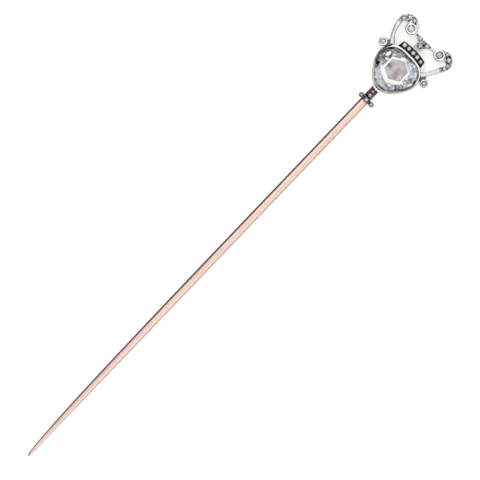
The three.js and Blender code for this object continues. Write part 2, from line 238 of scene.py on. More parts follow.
class Shader(Tree):
    """One material and its node tree."""

    def __init__(self, name: str) -> None:
        """Makes an empty node material.

        Args:
            name: The material's name.
        """
        self.material = bpy.data.materials.new(name)
        super().__init__(self.material)

    def value(self, kind: str, settings: dict | None = None, inputs: dict | None = None) -> Value:
        """Adds a node, as node() does, and returns its first enabled output."""
        node = self.node(kind, settings, inputs)
        return Value(self, next(s for s in node.outputs if s.enabled))

    def place(self, stretch: Sequence[float] = (1, 1, 1), turn: float = 0.0) -> bpy.types.NodeSocket:
        """Object coordinates in millimetres.

        Args:
            stretch: How finely a pattern repeats along each axis.
            turn: A turn about Z, in radians.

        Returns:
            The vector socket.
        """
        coordinates = self.node("ShaderNodeTexCoord").outputs["Object"]
        scale = [s / MM for s in stretch]
        inputs = {"Vector": coordinates, "Scale": scale, "Rotation": (0, 0, turn)}
        return self.node("ShaderNodeMapping", None, inputs).outputs[0]

    def axis(self, name: str) -> Value:
        """One Object coordinate, in millimetres."""
        split = self.node("ShaderNodeSeparateXYZ", None, {"Vector": self.place()})
        return Value(self, split.outputs[name])

    def spot(self, vector: bpy.types.NodeSocket, spot: Spot) -> Value:
        """A soft-edged oval patch.

        Args:
            vector: Coordinates in millimetres.
            spot: The patch.

        Returns:
            1 inside the patch, falling to 0 outside it.
        """
        inputs = {
            "Vector": vector,
            "Location": (spot.x, spot.y, 0.0),
            "Rotation": (0.0, 0.0, math.radians(spot.turn)),
            "Scale": (spot.half_width, spot.half_height, FAR),
        }
        mapped = self.node("ShaderNodeMapping", {"vector_type": "TEXTURE"}, inputs).outputs[0]
        length = self.node("ShaderNodeVectorMath", {"operation": "LENGTH"}, {0: mapped})
        return Value(self, length.outputs["Value"]).above(1.0 + spot.softness, 1.0 - spot.softness)

    def uneven(self, vector: bpy.types.NodeSocket, scale: float, reach: float) -> bpy.types.NodeSocket:
        """Coordinates pushed about by noise.

        Args:
            vector: The coordinates.
            scale: How fine the noise is.
            reach: How far it pushes, in millimetres.

        Returns:
            The vector socket.
        """
        noise = self.node("ShaderNodeTexNoise", None, {"Vector": vector, "Scale": scale, "Detail": 2.0})
        centred = self.node(
            "ShaderNodeVectorMath",
            {"operation": "SUBTRACT"},
            {0: noise.outputs["Color"], 1: (0.5, 0.5, 0.5)},
        )
        scaled = self.node(
            "ShaderNodeVectorMath", {"operation": "SCALE"}, {0: centred.outputs[0], "Scale": 2 * reach}
        )
        return self.node(
            "ShaderNodeVectorMath", {"operation": "ADD"}, {0: vector, 1: scaled.outputs[0]}
        ).outputs[0]

    def noise(self, vector: bpy.types.NodeSocket, scale: float, detail: float = 2.0) -> Value:
        """Soft noise from 0 to 1, its features 1 / scale millimetres across."""
        inputs = {"Vector": vector, "Scale": scale, "Detail": detail}
        return self.value("ShaderNodeTexNoise", None, inputs)

    def attribute(self, name: str) -> Value:
        """A number stored on the mesh."""
        node = self.node("ShaderNodeAttribute", {"attribute_name": name})
        return Value(self, node.outputs["Fac"])

    def mix(self, factor: Amount, first: Input, second: Input) -> bpy.types.NodeSocket:
        """A blend of two colours.

        Args:
            factor: The second colour's share, from 0 to 1.
            first: The first colour.
            second: The second colour.

        Returns:
            The blend's socket.
        """
        inputs = {"Factor": factor, "A": first, "B": second}
        node = self.node("ShaderNodeMix", {"data_type": "RGBA"}, inputs)
        return next(s for s in node.outputs if s.enabled)

    def ramp(self, factor: Value, stops: Sequence[tuple[float, Colour]]) -> bpy.types.NodeSocket:
        """A colour ramp over a value."""
        return self.node("ShaderNodeValToRGB", {"ramp": stops}, {"Fac": factor}).outputs["Color"]

    def bump(self, height: Value, distance: float, strength: float = 1.0) -> bpy.types.NodeSocket:
        """A bumped normal from a height whose full swing is a distance in millimetres."""
        inputs = {"Height": height, "Distance": distance * MM, "Strength": strength}
        return self.node("ShaderNodeBump", None, inputs).outputs["Normal"]

    def surface(self, inputs: dict) -> bpy.types.Material:
        """Ends the tree in a Principled shader.

        Args:
            inputs: The shader's sockets by name.

        Returns:
            The finished material.
        """
        shader = self.node("ShaderNodeBsdfPrincipled", None, inputs).outputs[0]
        self.node("ShaderNodeOutputMaterial", None, {"Surface": shader})
        return self.material


# ---- Finishes ----


@dataclass(frozen=True)
class RoseGold:
    """Drawn rose-gold wire with fine lengthwise marks, and light and shade painted in: dark reflections
    along its upper sides, shade towards the head, and a middle darker than its sides.
    """

    name: str = "rose_gold_wire"
    # colour and pale are the gold in painted shade and in painted light; the blend between them, with the
    # marks, paints how light falls across the wire.
    colour: Colour = (0.50, 0.37, 0.325)
    pale: Colour = (0.70, 0.54, 0.485)
    # Painted shade: the dark laid along the upper sides as a reflection, and towards the head.
    painted_shade: Colour = (0.11, 0.015, 0.007)
    edge: Colour = (0.38, 0.09, 0.05)

    def build(self) -> bpy.types.Material:
        """Makes the material.

        Returns:
            The finished material.
        """
        s = Shader(self.name)
        streaks = s.noise(s.place((14, 0.25, 14)), 1.0, 4.0)
        patches = s.noise(s.place((0.6, 0.12, 0.6)), 1.0, 3.0)
        scratches = s.noise(s.place((3, 9, 3), 0.5), 1.0, 5.0).above(0.6, 0.68)
        across = s.attribute("side")
        left = across.above(-0.64, -0.76)
        right = across.above(0.82, 1.0) * 0.45
        # Painted shade on the stretch towards the head.
        painted_head_shade = s.axis("Y").above(-7.6, -6.8) * 0.9
        # Painted light: the sides of the wire paler than its middle.
        middle = across.above(-0.45, 0.0) * across.above(0.65, 0.2)
        marks = streaks.above(0.3, 0.75) * 0.25 + patches.above(0.3, 0.7) * 0.2 - 0.22
        paleness = 1.0 - middle * 0.9 + marks
        body = s.mix(paleness, self.colour, self.pale)
        upper = s.axis("Z").above(0.45, 0.7)
        # Painted dark reflection along the upper sides, strongest on the left.
        painted_flank_shade = left.largest(right) * upper * (0.8 + streaks * 0.4)
        dark = (painted_flank_shade + painted_head_shade * (0.5 + patches * 0.5)).smallest(1.0)
        return s.surface(
            {
                "Base Color": s.mix(dark, body, self.painted_shade),
                "Metallic": 1.0,
                "Roughness": 0.26 + patches * 0.12 + scratches * 0.1 + dark * 0.2,
                "Specular Tint": self.edge,
                "Normal": s.bump(streaks * 0.7 + scratches * -0.4, 0.006, 0.6),
            }
        )


@dataclass(frozen=True)
class Gold:
    """Worn gold of the hidden backing: warm, softly scratched, darker in patches."""

    name: str = "backing_gold"
    colour: Colour = (0.70, 0.42, 0.20)
    dark: Colour = (0.30, 0.15, 0.07)

    def build(self) -> bpy.types.Material:
        """Makes the material.

        Returns:
            The finished material.
        """
        s = Shader(self.name)
        patches = s.noise(s.place(), 1.1, 4.0)
        scratches = s.noise(s.place((1.2, 16, 3), 0.6), 1.0, 4.0)
        stain = patches.above(0.45, 0.75)
        colour = s.mix(stain * 0.7 + scratches.above(0.55, 0.7) * 0.2, self.colour, self.dark)
        return s.surface(
            {
                "Base Color": colour,
                "Metallic": 1.0,
                "Roughness": 0.24 + stain * 0.22 + scratches * 0.1,
                "Normal": s.bump(scratches + patches, 0.01, 0.5),
            }
        )


@dataclass(frozen=True)
class Silver:
    """Old silver: bright on what stands proud, black with oxide in what lies low.

    Oxide fills everything under low and is rubbed off everything over high, in millimetres of height.
    Ground is the colour of what lies low. Painted shadow is laid blacker still over it, in the hollows
    round the stones and between the parts.
    Shades darken the whole surface, each by its tone.
    """

    name: str
    low: float
    high: float
    bright: Colour = (0.64, 0.65, 0.61)
    ground: Colour = (0.008, 0.008, 0.010)
    painted_shadow_colour: Colour = (0.004, 0.004, 0.005)
    shade_colour: Colour = (0.02, 0.02, 0.025)
    painted_shadows: tuple[Spot, ...] = ()
    shades: tuple[Spot, ...] = ()
    stain: float = 0.35
    roughness: float = 0.22

    def rubbed(self, s: Shader, height: Value) -> Value:
        """Where the oxide is rubbed off, from 0 to 1."""
        return height.above(self.low, self.high)

    def polished(self, s: Shader) -> Input:
        """The colour of the bare metal."""
        return self.bright

    def shaded(self, s: Shader) -> Amount:
        """How much of its tone a shade has, from 0 to 1."""
        return 1.0

    def build(self) -> bpy.types.Material:
        """Makes the material.

        Returns:
            The finished material.
        """
        s = Shader(self.name)
        dents = s.noise(s.place(), 3.0, 3.0)
        grit = s.noise(s.place(), 9.0, 4.0)
        blotches = s.noise(s.place(), 0.9, 3.0)
        height = s.axis("Z") + (dents - 0.5) * 0.1 + (grit - 0.5) * 0.06
        rubbed = self.rubbed(s, height)
        tarnished = blotches.above(0.42, 0.72) * self.stain + grit.above(0.55, 0.75) * 0.15
        silver = s.mix(tarnished, self.polished(s), tuple(0.35 * c for c in self.bright))
        ground = s.mix(grit.above(0.4, 0.7), self.ground, tuple(min(1.0, 2.2 * c) for c in self.ground))
        # Painted shadow, laid black over the hollows round the stones and between the parts.
        painted_shadow = None
        uneven = s.uneven(s.place(), 2.5, 0.06)
        for spot in self.painted_shadows:
            mask = s.spot(uneven, spot)
            painted_shadow = mask if painted_shadow is None else painted_shadow.largest(mask)
        colour = s.mix(rubbed, ground, silver)
        if painted_shadow is not None:
            hollow = s.axis("Z").above(self.low - 0.12, self.low - 0.08) * (1.0 - rubbed)
            colour = s.mix(hollow * painted_shadow, colour, self.painted_shadow_colour)
        for spot in self.shades:
            shade = s.spot(uneven, spot) * spot.tone * self.shaded(s)
            colour = s.mix(shade, colour, self.shade_colour)
        return s.surface(
            {
                "Base Color": colour,
                "Metallic": 1.0,
                "Roughness": self.roughness + (1.0 - rubbed) * 0.25 + tarnished * 0.2,
                "Normal": s.bump(dents * 0.7 + grit * 0.3, 0.03, 0.5),
            }
        )


@dataclass(frozen=True)
class ColletSilver(Silver):
    """The collet's silver: a bright upper lip, a wall on the left painted black as shade, the walls away
    from it painted bright as lit, and its lower half painted duller as shade.
    """

    def rubbed(self, s: Shader, height: Value) -> Value:
        """Where the metal shows bright: the lip, where the oxide is rubbed off, and the walls away from the
        upper left, painted as lit.

        Args:
            s: The shader.
            height: The height, broken by noise.

        Returns:
            The share of bright metal.
        """
        x, y = s.axis("X"), s.axis("Y")
        beads = s.noise(s.place(), 2.6, 1.0).above(0.52, 0.58)
        # Painted shade: the wall on the upper left stays black, broken by light beads.
        left = (x - y * 0.12).above(-3.0, -3.4)
        proud = height.above(1.86, 1.98)
        # Painted light: the walls away from the upper left show bright, less so near the top.
        pale = (1.0 - left) * (0.8 - y.above(2.6, 3.2) * 0.5)
        return proud.largest(pale).largest(left * beads * 0.6)

    def polished(self, s: Shader) -> Input:
        """The colour of the bright metal, painted duller on the lower half as shade."""
        # Painted shade: the lower half takes a duller copy of the bright colour.
        dull = tuple(0.62 * c for c in self.bright)
        return s.mix(s.axis("Y").above(-1.0, 2.4), dull, self.bright)

    def shaded(self, s: Shader) -> Amount:
        """Full on the inner half of the lip, none on its outer half."""
        return s.attribute("reach").above(-0.13, -0.22)


@dataclass(frozen=True)
class Foil:
    """Bright foil, finely crumpled, under the large stone."""

    name: str = "bright_foil"
    colour: Colour = (0.86, 0.83, 0.80)
    stained: Colour = (0.55, 0.33, 0.24)

    def build(self) -> bpy.types.Material:
        """Makes the material.

        Returns:
            The finished material.
        """
        s = Shader(self.name)
        creases = s.value("ShaderNodeTexVoronoi", None, {"Vector": s.place(), "Scale": 1.6})
        blotches = s.noise(s.place(), 0.8, 3.0)
        colour = s.mix(blotches.above(0.45, 0.7) * 0.6, self.colour, self.stained)
        return s.surface(
            {
                "Base Color": colour,
                "Metallic": 1.0,
                "Roughness": 0.16 + blotches * 0.15,
                "Normal": s.bump(creases, 0.12, 0.8),
            }
        )


@dataclass(frozen=True)
class SmallDiamond:
    """A small rose-cut stone. Each facet carries its own painted tone of reflected light, broken by painted
    reflections of what shows through it.
    """

    name: str = "small_diamond"

    def build(self) -> bpy.types.Material:
        """Makes the material.

        Returns:
            The finished material.
        """
        s = Shader(self.name)
        flecks = s.value("ShaderNodeTexVoronoi", None, {"Vector": s.place(), "Scale": 4.0})
        cloud = s.noise(s.place(), 2.6, 2.0)
        tone = s.attribute("tone") + flecks.above(0.25, 0.6) * 0.15 + (cloud - 0.5) * 0.6
        stops = [
            (0.0, (0.02, 0.02, 0.03)),
            (0.3, (0.15, 0.145, 0.175)),
            (0.6, (0.42, 0.415, 0.465)),
            (0.9, (0.86, 0.86, 0.90)),
        ]
        return s.surface(
            {
                "Base Color": s.ramp(tone, stops),
                "Roughness": 0.05,
                "IOR": 1.9,
                "Transmission Weight": 0.2,
            }
        )


@dataclass(frozen=True)
class LargeDiamond:
    """The large rose-cut stone, its reflections painted as tones: grey and faintly pink on top, broken by
    painted highlights and dark reflections outside that.

    Tones run from 0, black, to 1, white. The spots of under_table and flushes are laid on the six top
    facets, and all the others outside them.
    """

    name: str = "large_diamond"
    flush_colour: Colour = (0.40, 0.19, 0.12)
    cool_colour: Colour = (0.62, 0.72, 0.95)
    # Lights and bands are painted highlights; smooth, under_table and darks are painted reflections, from
    # light to dark.
    lights: tuple[Spot, ...] = (
        Spot(-2.62, 1.45, 0.3, 0.55, 1.0, -12),
        Spot(-3.15, 0.95, 0.12, 0.2, 0.85, 0),
        Spot(-1.58, 2.05, 0.12, 0.12, 1.0),
        Spot(-2.2, 0.65, 0.3, 0.17, 1.0, 25),
        Spot(3.3, -1.85, 0.1, 0.35, 0.8, -32),
        Spot(2.15, 2.95, 0.15, 0.13, 1.0),
        Spot(3.35, 1.95, 0.12, 0.5, 0.92, 35),
        Spot(2.9, 1.3, 0.14, 0.14, 0.9),
        Spot(2.65, 0.45, 0.12, 0.2, 0.95, -30),
        Spot(3.75, 0.05, 0.2, 0.5, 0.97, -25),
        Spot(2.4, -0.75, 0.4, 0.22, 0.95, 30),
        Spot(1.1, 3.15, 0.3, 0.1, 0.95, 20),
        Spot(-1.45, -2.95, 0.14, 0.13, 1.0),
        Spot(-0.4, -2.7, 0.12, 0.12, 0.95),
        Spot(-2.3, -2.0, 0.15, 0.2, 0.9),
        Spot(1.3, -2.5, 0.14, 0.1, 0.9),
        Spot(-3.4, 0.3, 0.1, 0.14, 0.85),
    )
    bands: tuple[Spot, ...] = (
        Spot(-1.05, -1.47, 1.35, 0.3, 1.0, -30, 0.3),
        Spot(1.4, -1.57, 1.2, 0.27, 1.0, 30, 0.3),
        Spot(0.35, -2.15, 0.5, 0.28, 1.0, 0, 0.3),
        Spot(1.25, 2.0, 1.0, 0.13, 0.93, -30, 0.4),
        Spot(0.05, 2.6, 0.65, 0.18, 1.0, 25, 0.4),
    )
    smooth: tuple[Spot, ...] = (
        Spot(2.1, 2.1, 1.4, 0.8, 0.70, -40, 0.25),
        Spot(-1.6, -2.5, 0.9, 0.5, 0.70, -35, 0.4),
        Spot(0.6, -2.9, 1.3, 0.6, 0.68, 5, 0.4),
        Spot(3.0, 0.3, 0.65, 0.8, 0.48, 0, 0.4),
        Spot(-3.0, 1.2, 0.9, 1.6, 0.33, 10, 0.4),
        Spot(-1.7, 2.75, 1.2, 0.5, 0.46, 35, 0.35),
        Spot(0.0, 3.15, 1.5, 0.42, 0.38, 0, 0.35),
        Spot(1.6, -2.75, 0.4, 0.4, 0.46, 0, 0.4),
    )
    under_table: tuple[Spot, ...] = (
        Spot(-1.15, 0.12, 0.5, 0.34, 0.12, -10, 0.7),
        Spot(0.8, -0.5, 0.35, 0.6, 0.46, 20, 0.7),
        Spot(-0.5, 1.05, 0.4, 0.25, 0.48, 20, 0.7),
        Spot(-0.35, -0.85, 0.6, 0.45, 0.64, 0, 0.7),
        Spot(0.7, 1.35, 0.5, 0.5, 0.62, 0, 0.7),
        Spot(1.55, 0.1, 0.3, 0.9, 0.68, 0, 0.7),
    )
    darks: tuple[Spot, ...] = (
        Spot(-2.85, -0.88, 0.3, 0.34, -0.05, 10),
        Spot(-2.5, -1.4, 0.12, 0.3, 0.12, 20),
        Spot(-2.12, -0.4, 0.11, 0.14, 0.1),
        Spot(-1.1, 3.3, 0.55, 0.12, 0.22, 10),
        Spot(-0.1, 3.12, 0.35, 0.17, 0.2, -5),
        Spot(0.85, 3.2, 0.55, 0.15, 0.22, -8),
        Spot(1.75, 3.25, 0.35, 0.1, 0.3, -25),
        Spot(-1.9, 2.85, 0.3, 0.12, 0.3, 35),
        Spot(3.6, 2.15, 0.1, 0.7, 0.3, 32),
        Spot(4.0, 0.95, 0.15, 0.5, 0.0, 6),
        Spot(3.3, 0.75, 0.15, 0.1, 0.15),
        Spot(3.15, 0.1, 0.22, 0.18, 0.35, 20),
        Spot(2.7, -1.02, 0.15, 0.12, -0.1),
        Spot(3.05, -0.95, 0.13, 0.13, -0.1),
        Spot(2.8, -1.4, 0.1, 0.1, 0.0),
        Spot(2.05, -1.72, 0.16, 0.11, 0.0),
        Spot(2.45, -2.2, 0.16, 0.14, -0.05),
        Spot(3.2, -1.7, 0.2, 0.45, 0.25, -35),
        Spot(1.75, -2.1, 0.1, 0.08, 0.2),
        Spot(0.85, -2.75, 0.4, 0.12, 0.3, 5),
        Spot(2.0, -3.1, 0.55, 0.15, 0.35, 38),
        Spot(0.5, -3.6, 0.95, 0.17, 0.32, 3),
        Spot(-1.2, -3.35, 0.65, 0.14, 0.38, -28),
        Spot(-3.3, -0.2, 0.22, 0.3, 0.3, 0),
        Spot(-2.75, 2.65, 0.42, 0.17, 0.12, 45),
        Spot(-3.55, 1.95, 0.16, 0.35, 0.05, -25),
        Spot(-2.0, 1.35, 0.18, 0.35, 0.22, 10),
        Spot(-2.75, 0.35, 0.35, 0.14, 0.2, 15),
    )
    flushes: tuple[Spot, ...] = (
        Spot(-0.95, 0.72, 0.45, 0.26, 0.75, -15, 0.7),
        Spot(0.6, -0.08, 0.28, 0.2, 0.7, -20, 0.7),
        Spot(1.55, 0.75, 0.3, 0.6, 0.45, 0, 0.8),
        Spot(-0.1, 1.75, 0.2, 0.4, 0.4, 0, 0.8),
        Spot(1.35, -0.75, 0.3, 0.4, 0.3, 20, 0.8),
        Spot(0.3, 0.3, 1.6, 1.6, 0.1, 0, 0.5),
    )
    cool: tuple[Spot, ...] = (
        Spot(1.15, 2.02, 0.95, 0.28, 0.8, -30, 0.4),
        Spot(-1.6, -2.5, 0.8, 0.4, 0.3, -35, 0.5),
        Spot(2.2, 2.3, 1.0, 0.6, 0.25, -40, 0.5),
    )

    def build(self) -> bpy.types.Material:
        """Makes the material.

        Returns:
            The finished material.
        """
        s = Shader(self.name)
        place = s.uneven(s.place(), 2.2, 0.1)
        inner = s.attribute("inner")
        outer = 1.0 - inner
        shards = s.node("ShaderNodeTexVoronoi", None, {"Vector": s.place((1, 1, 0.4)), "Scale": 2.3})
        split = s.node("ShaderNodeSeparateXYZ", None, {"Vector": shards.outputs["Color"]})
        shard = Value(s, split.outputs[0])
        fine = s.noise(s.place(), 4.5, 2.0)
        tone = s.attribute("tone")
        tone = self.paint(s, tone, place, self.smooth, outer)
        tone = self.paint(s, tone, place, self.under_table, s.attribute("table"))
        tone = tone + (shard - 0.5) * (outer * 0.3 + 0.04) + (fine - 0.5) * (outer * 0.7 + 0.12)
        tone = self.paint(s, tone, place, self.bands + self.lights + self.darks, outer)
        stops = [
            (0.0, (0.008, 0.011, 0.03)),
            (0.2, (0.07, 0.07, 0.075)),
            (0.5, (0.34, 0.345, 0.37)),
            (0.75, (0.68, 0.69, 0.74)),
            (0.95, (1.0, 1.0, 1.0)),
        ]
        colour = s.ramp(tone, stops)
        for spot in self.flushes:
            flush = s.spot(place, spot) * s.attribute("table") * spot.tone
            colour = s.mix(flush, colour, self.flush_colour)
        for spot in self.cool:
            away = (1.0 - s.attribute("table")) * tone.above(0.4, 0.8)
            colour = s.mix(s.spot(place, spot) * away * spot.tone, colour, self.cool_colour)
        return s.surface(
            {
                "Base Color": colour,
                "Roughness": 0.06,
                "IOR": 1.6,
                "Transmission Weight": 0.1,
            }
        )

    @staticmethod
    def paint(
        s: Shader, tone: Value, place: bpy.types.NodeSocket, spots: Sequence[Spot], share: Value
    ) -> Value:
        """Lays spots over a tone, one after the other.

        Args:
            s: The shader.
            tone: The tone under them.
            place: Coordinates in millimetres.
            spots: The spots.
            share: How strongly they cover, from 0 to 1.

        Returns:
            The new tone.
        """
        for spot in spots:
            tone = tone + (spot.tone - tone) * s.spot(place, spot) * share
        return tone


# ---- The bench ----


class Bench:
    """Modelling by plain operations, in millimetres."""

    @staticmethod
    def clear() -> None:
        """Leaves edit mode and deselects everything."""
        if bpy.context.mode != "OBJECT":
            bpy.ops.object.mode_set(mode="OBJECT")
        bpy.ops.object.select_all(action="DESELECT")

    @classmethod
    def pick(cls, obj: Object) -> None:
        """Leaves edit mode, and selects one object and nothing else.

        Args:
            obj: The object.
        """
        cls.clear()
        bpy.context.view_layer.objects.active = obj
        obj.select_set(True)

    @staticmethod
    def _name(name: str) -> Object:
        """Names the object that was just added, and returns it.

        Args:
            name: The name.

        Returns:
            The object.
        """
        obj = bpy.context.active_object
        obj.name = name
        obj.data.name = name
        return obj

    @classmethod
    def loft(cls, name: str, rings: Sequence[Ring]) -> Object:
        """A closed skin drawn through rings of points, with a flat face on the first and the last.

        Args:
            name: The new object's name.
            rings: Rings with the same number of points each, running anticlockwise from above.

        Returns:
            The object, in object mode.
        """
        cls.clear()
        bpy.ops.mesh.primitive_circle_add(vertices=len(rings[0]), radius=1.0, fill_type="NGON")
        obj = cls._name(name)
        places = obj.data.attributes.new("place", "INT", "POINT")
        places.data.foreach_set("value", range(len(rings[0])))
        cls._put(obj, rings[0])
        for ring in rings[1:]:
            bpy.ops.object.mode_set(mode="EDIT")
            bpy.ops.mesh.extrude_region_move(TRANSFORM_OT_translate={"value": (0, 0, 1)})
            bpy.ops.object.mode_set(mode="OBJECT")
            cls._put(obj, ring)
        obj.data.attributes.remove(obj.data.attributes["place"])
        cls.finish(obj)
        return obj

    @staticmethod
    def _put(obj: Object, ring: Ring) -> None:
        """Moves the selected vertices, each by its stored place, to a ring of points.

        Args:
            obj: The object.
            ring: The points.
        """
        places = obj.data.attributes["place"].data
        for vertex in obj.data.vertices:
            if vertex.select:
                vertex.co = ring[places[vertex.index].value]

    @classmethod
    def edit(cls, obj: Object, domain: str, chosen: Callable[..., bool]) -> None:
        """Enters edit mode with some faces or edges selected.

        Args:
            obj: The object.
            domain: "FACE" or "EDGE".
            chosen: Says whether an item is selected. A face is given as (centre, normal), an edge
                as its two ends.
        """
        cls.pick(obj)
        mesh = obj.data
        for items in (mesh.vertices, mesh.edges, mesh.polygons):
            items.foreach_set("select", [False] * len(items))
        if domain == "FACE":
            for face in mesh.polygons:
                face.select = chosen(face.center, face.normal)
        else:
            for edge in mesh.edges:
                edge.select = chosen(*(mesh.vertices[v].co for v in edge.vertices))
        bpy.ops.object.mode_set(mode="EDIT")
        bpy.ops.mesh.select_mode(type=domain)

    @classmethod
    def finish(cls, obj: Object) -> None:
        """Leaves edit mode with the object's faces all turned outwards.

        Args:
            obj: The object.
        """
        cls.edit(obj, "FACE", lambda _centre, _normal: True)
        bpy.ops.mesh.remove_doubles(threshold=1e-4)
        bpy.ops.mesh.normals_make_consistent(inside=False)
        cls.clear()

    @classmethod
    def moulded(cls, name: str, outline: Sequence[Point], profile: Sequence[Point]) -> Object:
        """A plate whose edge follows a profile.

        Args:
            name: The new object's name.
            outline: The plate's outline, anticlockwise.
            profile: (how far inside the outline, height) from the bottom face up to the top face.

        Returns:
            The object.
        """
        rings = []
        for inset, z in profile:
            rings.append([(x, y, z) for x, y in shrunk(outline, inset)])
        return cls.loft(name, rings)

    @classmethod
    def round_edges(cls, obj: Object, width: float, segments: int, chosen: Callable[..., bool]) -> None:
        """Bevels the chosen edges.

        Args:
            obj: The object.
            width: The bevel's width.
            segments: How many faces round it off.
            chosen: Says whether an edge, given as its two ends, is bevelled.
        """
        cls.edit(obj, "EDGE", chosen)
        bpy.ops.mesh.bevel(offset=width, segments=segments, affect="EDGES", clamp_overlap=True)
        cls.clear()

    @classmethod
    def copy(cls, obj: Object, name: str) -> Object:
        """A copy of an object with a mesh of its own.

        Args:
            obj: The object.
            name: The copy's name.

        Returns:
            The copy.
        """
        cls.pick(obj)
        bpy.ops.object.duplicate(linked=False)
        return cls._name(name)

    @classmethod
    def join(cls, objects: Sequence[Object], name: str) -> Object:
        """Joins objects into one.

        Args:
            objects: The objects.
            name: The joined object's name.

        Returns:
            The joined object.
        """
        cls.clear()
        for obj in objects:
            obj.select_set(True)
        bpy.context.view_layer.objects.active = objects[0]
        if len(objects) > 1:
            bpy.ops.object.join()
        return cls._name(name)

    @classmethod
    def settle(cls, obj: Object) -> None:
        """Applies the object's place, turn and size to its mesh."""
        cls.pick(obj)
        bpy.ops.object.transform_apply(location=True, rotation=True, scale=True)

    @classmethod
    def smooth(cls, obj: Object, degrees: float = 35.0) -> None:
        """Shades smooth every edge flatter than an angle."""
        cls.pick(obj)
        bpy.ops.object.shade_smooth_by_angle(angle=math.radians(degrees))


def turned_rings(profile: Sequence[Point], x: float, y: float, sides: int) -> list[Ring]:
    """Rings of a shape turned on an upright axis.

    Args:
        profile: (radius, height) from the bottom, up the outside, and down the inside.
        x: The axis's place.
        y: The axis's place.
        sides: Points in each ring.

    Returns:
        One ring for each point of the profile.
    """
    angles = [2 * math.pi * i / sides for i in range(sides)]
    return [[(x + r * math.cos(a), y + r * math.sin(a), z) for a in angles] for r, z in profile]


def inside(point: Point, outline: Sequence[Point]) -> bool:
    """Says whether a point lies inside an outline.

    Args:
        point: The point.
        outline: The outline.

    Returns:
        Whether it lies inside.
    """
    x, y = point
    crossings = 0
    for (x1, y1), (x2, y2) in zip(outline, [*outline[1:], outline[0]], strict=True):
        if (y1 > y) != (y2 > y) and x < (x2 - x1) * (y - y1) / (y2 - y1) + x1:
            crossings += 1
    return crossings % 2 == 1


def shrunk(outline: Sequence[Point], inset: float) -> list[Point]:
    """An anticlockwise outline moved inwards by an even distance.

    A point that would land too near another side joins its nearest good neighbour.

    Args:
        outline: The outline.
        inset: The distance.

    Returns:
        As many points as the outline has.
    """
    if inset == 0.0:
        return list(outline)
    count = len(outline)
    points = []
    for i, (x, y) in enumerate(outline):
        before, after = outline[i - 1], outline[(i + 1) % count]
        arriving = Vector((x - before[0], y - before[1])).normalized()
        leaving = Vector((after[0] - x, after[1] - y)).normalized()
        across = Vector((-arriving.y - leaving.y, arriving.x + leaving.x)).normalized()
        cosine = max(0.5, across.dot(Vector((-leaving.y, leaving.x))))
        points.append((x + across.x * inset / cosine, y + across.y * inset / cosine))
    good = [i for i, point in enumerate(points) if gap_to(point, outline) > 0.97 * inset]
    return [points[min(good, key=lambda j: min((i - j) % count, (j - i) % count))] for i in range(count)]


def gap_to(point: Point, outline: Sequence[Point]) -> float:
    """The distance from a point to an outline.

    Args:
        point: The point.
        outline: The outline.

    Returns:
        The distance.
    """
    here = Vector(point)
    nearest = math.inf
    for i, end in enumerate(outline):
        a, b = Vector(outline[i - 1]), Vector(end)
        side = b - a
        share = max(0.0, min(1.0, (here - a).dot(side) / max(side.length_squared, 1e-12)))
        nearest = min(nearest, (here - a - side * share).length)
    return nearest


def bezier(points: Sequence[Point], steps: int) -> list[Point]:
    """Points along a cubic curve with four control points.

    Args:
        points: The control points.
        steps: How many steps the curve has.

    Returns:
        The points, one more than the steps.
    """
    line = []
    for i in range(steps + 1):
        t = i / steps
        weights = ((1 - t) ** 3, 3 * t * (1 - t) ** 2, 3 * t**2 * (1 - t), t**3)
        line.append(tuple(sum(w * p[k] for w, p in zip(weights, points, strict=True)) for k in (0, 1)))
    return line


def spline(points: Sequence[Point], steps: int) -> list[Point]:
    """Points along a smooth line through some points, steps to each span.

    Args:
        points: The points it passes.
        steps: How many steps each span has.

    Returns:
        The line's points, its last one included.
    """
    padded = [points[0], *points, points[-1]]
    line = []
    for a, b, c, d in zip(padded, padded[1:], padded[2:], padded[3:], strict=False):
        for i in range(steps):
            t = i / steps
            line.append(
                tuple(
                    0.5
                    * (
                        2 * b[k]
                        + (c[k] - a[k]) * t
                        + (2 * a[k] - 5 * b[k] + 4 * c[k] - d[k]) * t**2
                        + (3 * b[k] - a[k] - 3 * c[k] + d[k]) * t**3
                    )
                    for k in (0, 1)
                )
            )
    return [*line, tuple(points[-1])]


def ribbon(points: Sequence[Point], widths: Callable[[float], float]) -> list[Point]:
    """The outline of a ribbon along a line.

    Args:
        points: The line.
        widths: Half the ribbon's width, from 0 at the line's start to 1 at its end.

    Returns:
        The outline, anticlockwise.
    """
    left, right = [], []
    last = len(points) - 1
    for i, (x, y) in enumerate(points):
        x0, y0 = points[max(i - 1, 0)]
        x1, y1 = points[min(i + 1, last)]
        along = Vector((x1 - x0, y1 - y0)).normalized()
        half = widths(i / last)
        left.append((x - half * along.y, y + half * along.x))
        right.append((x + half * along.y, y - half * along.x))
    return anticlockwise([*right, *reversed(left)])


def anticlockwise(outline: Sequence[Point]) -> list[Point]:
    """The outline, reversed if it runs clockwise.

    Args:
        outline: The outline.

    Returns:
        The same points, anticlockwise.
    """
    pairs = zip(outline, [*outline[1:], outline[0]], strict=True)
    area = sum(x1 * y2 - x2 * y1 for (x1, y1), (x2, y2) in pairs)
    return list(outline) if area > 0 else list(reversed(outline))


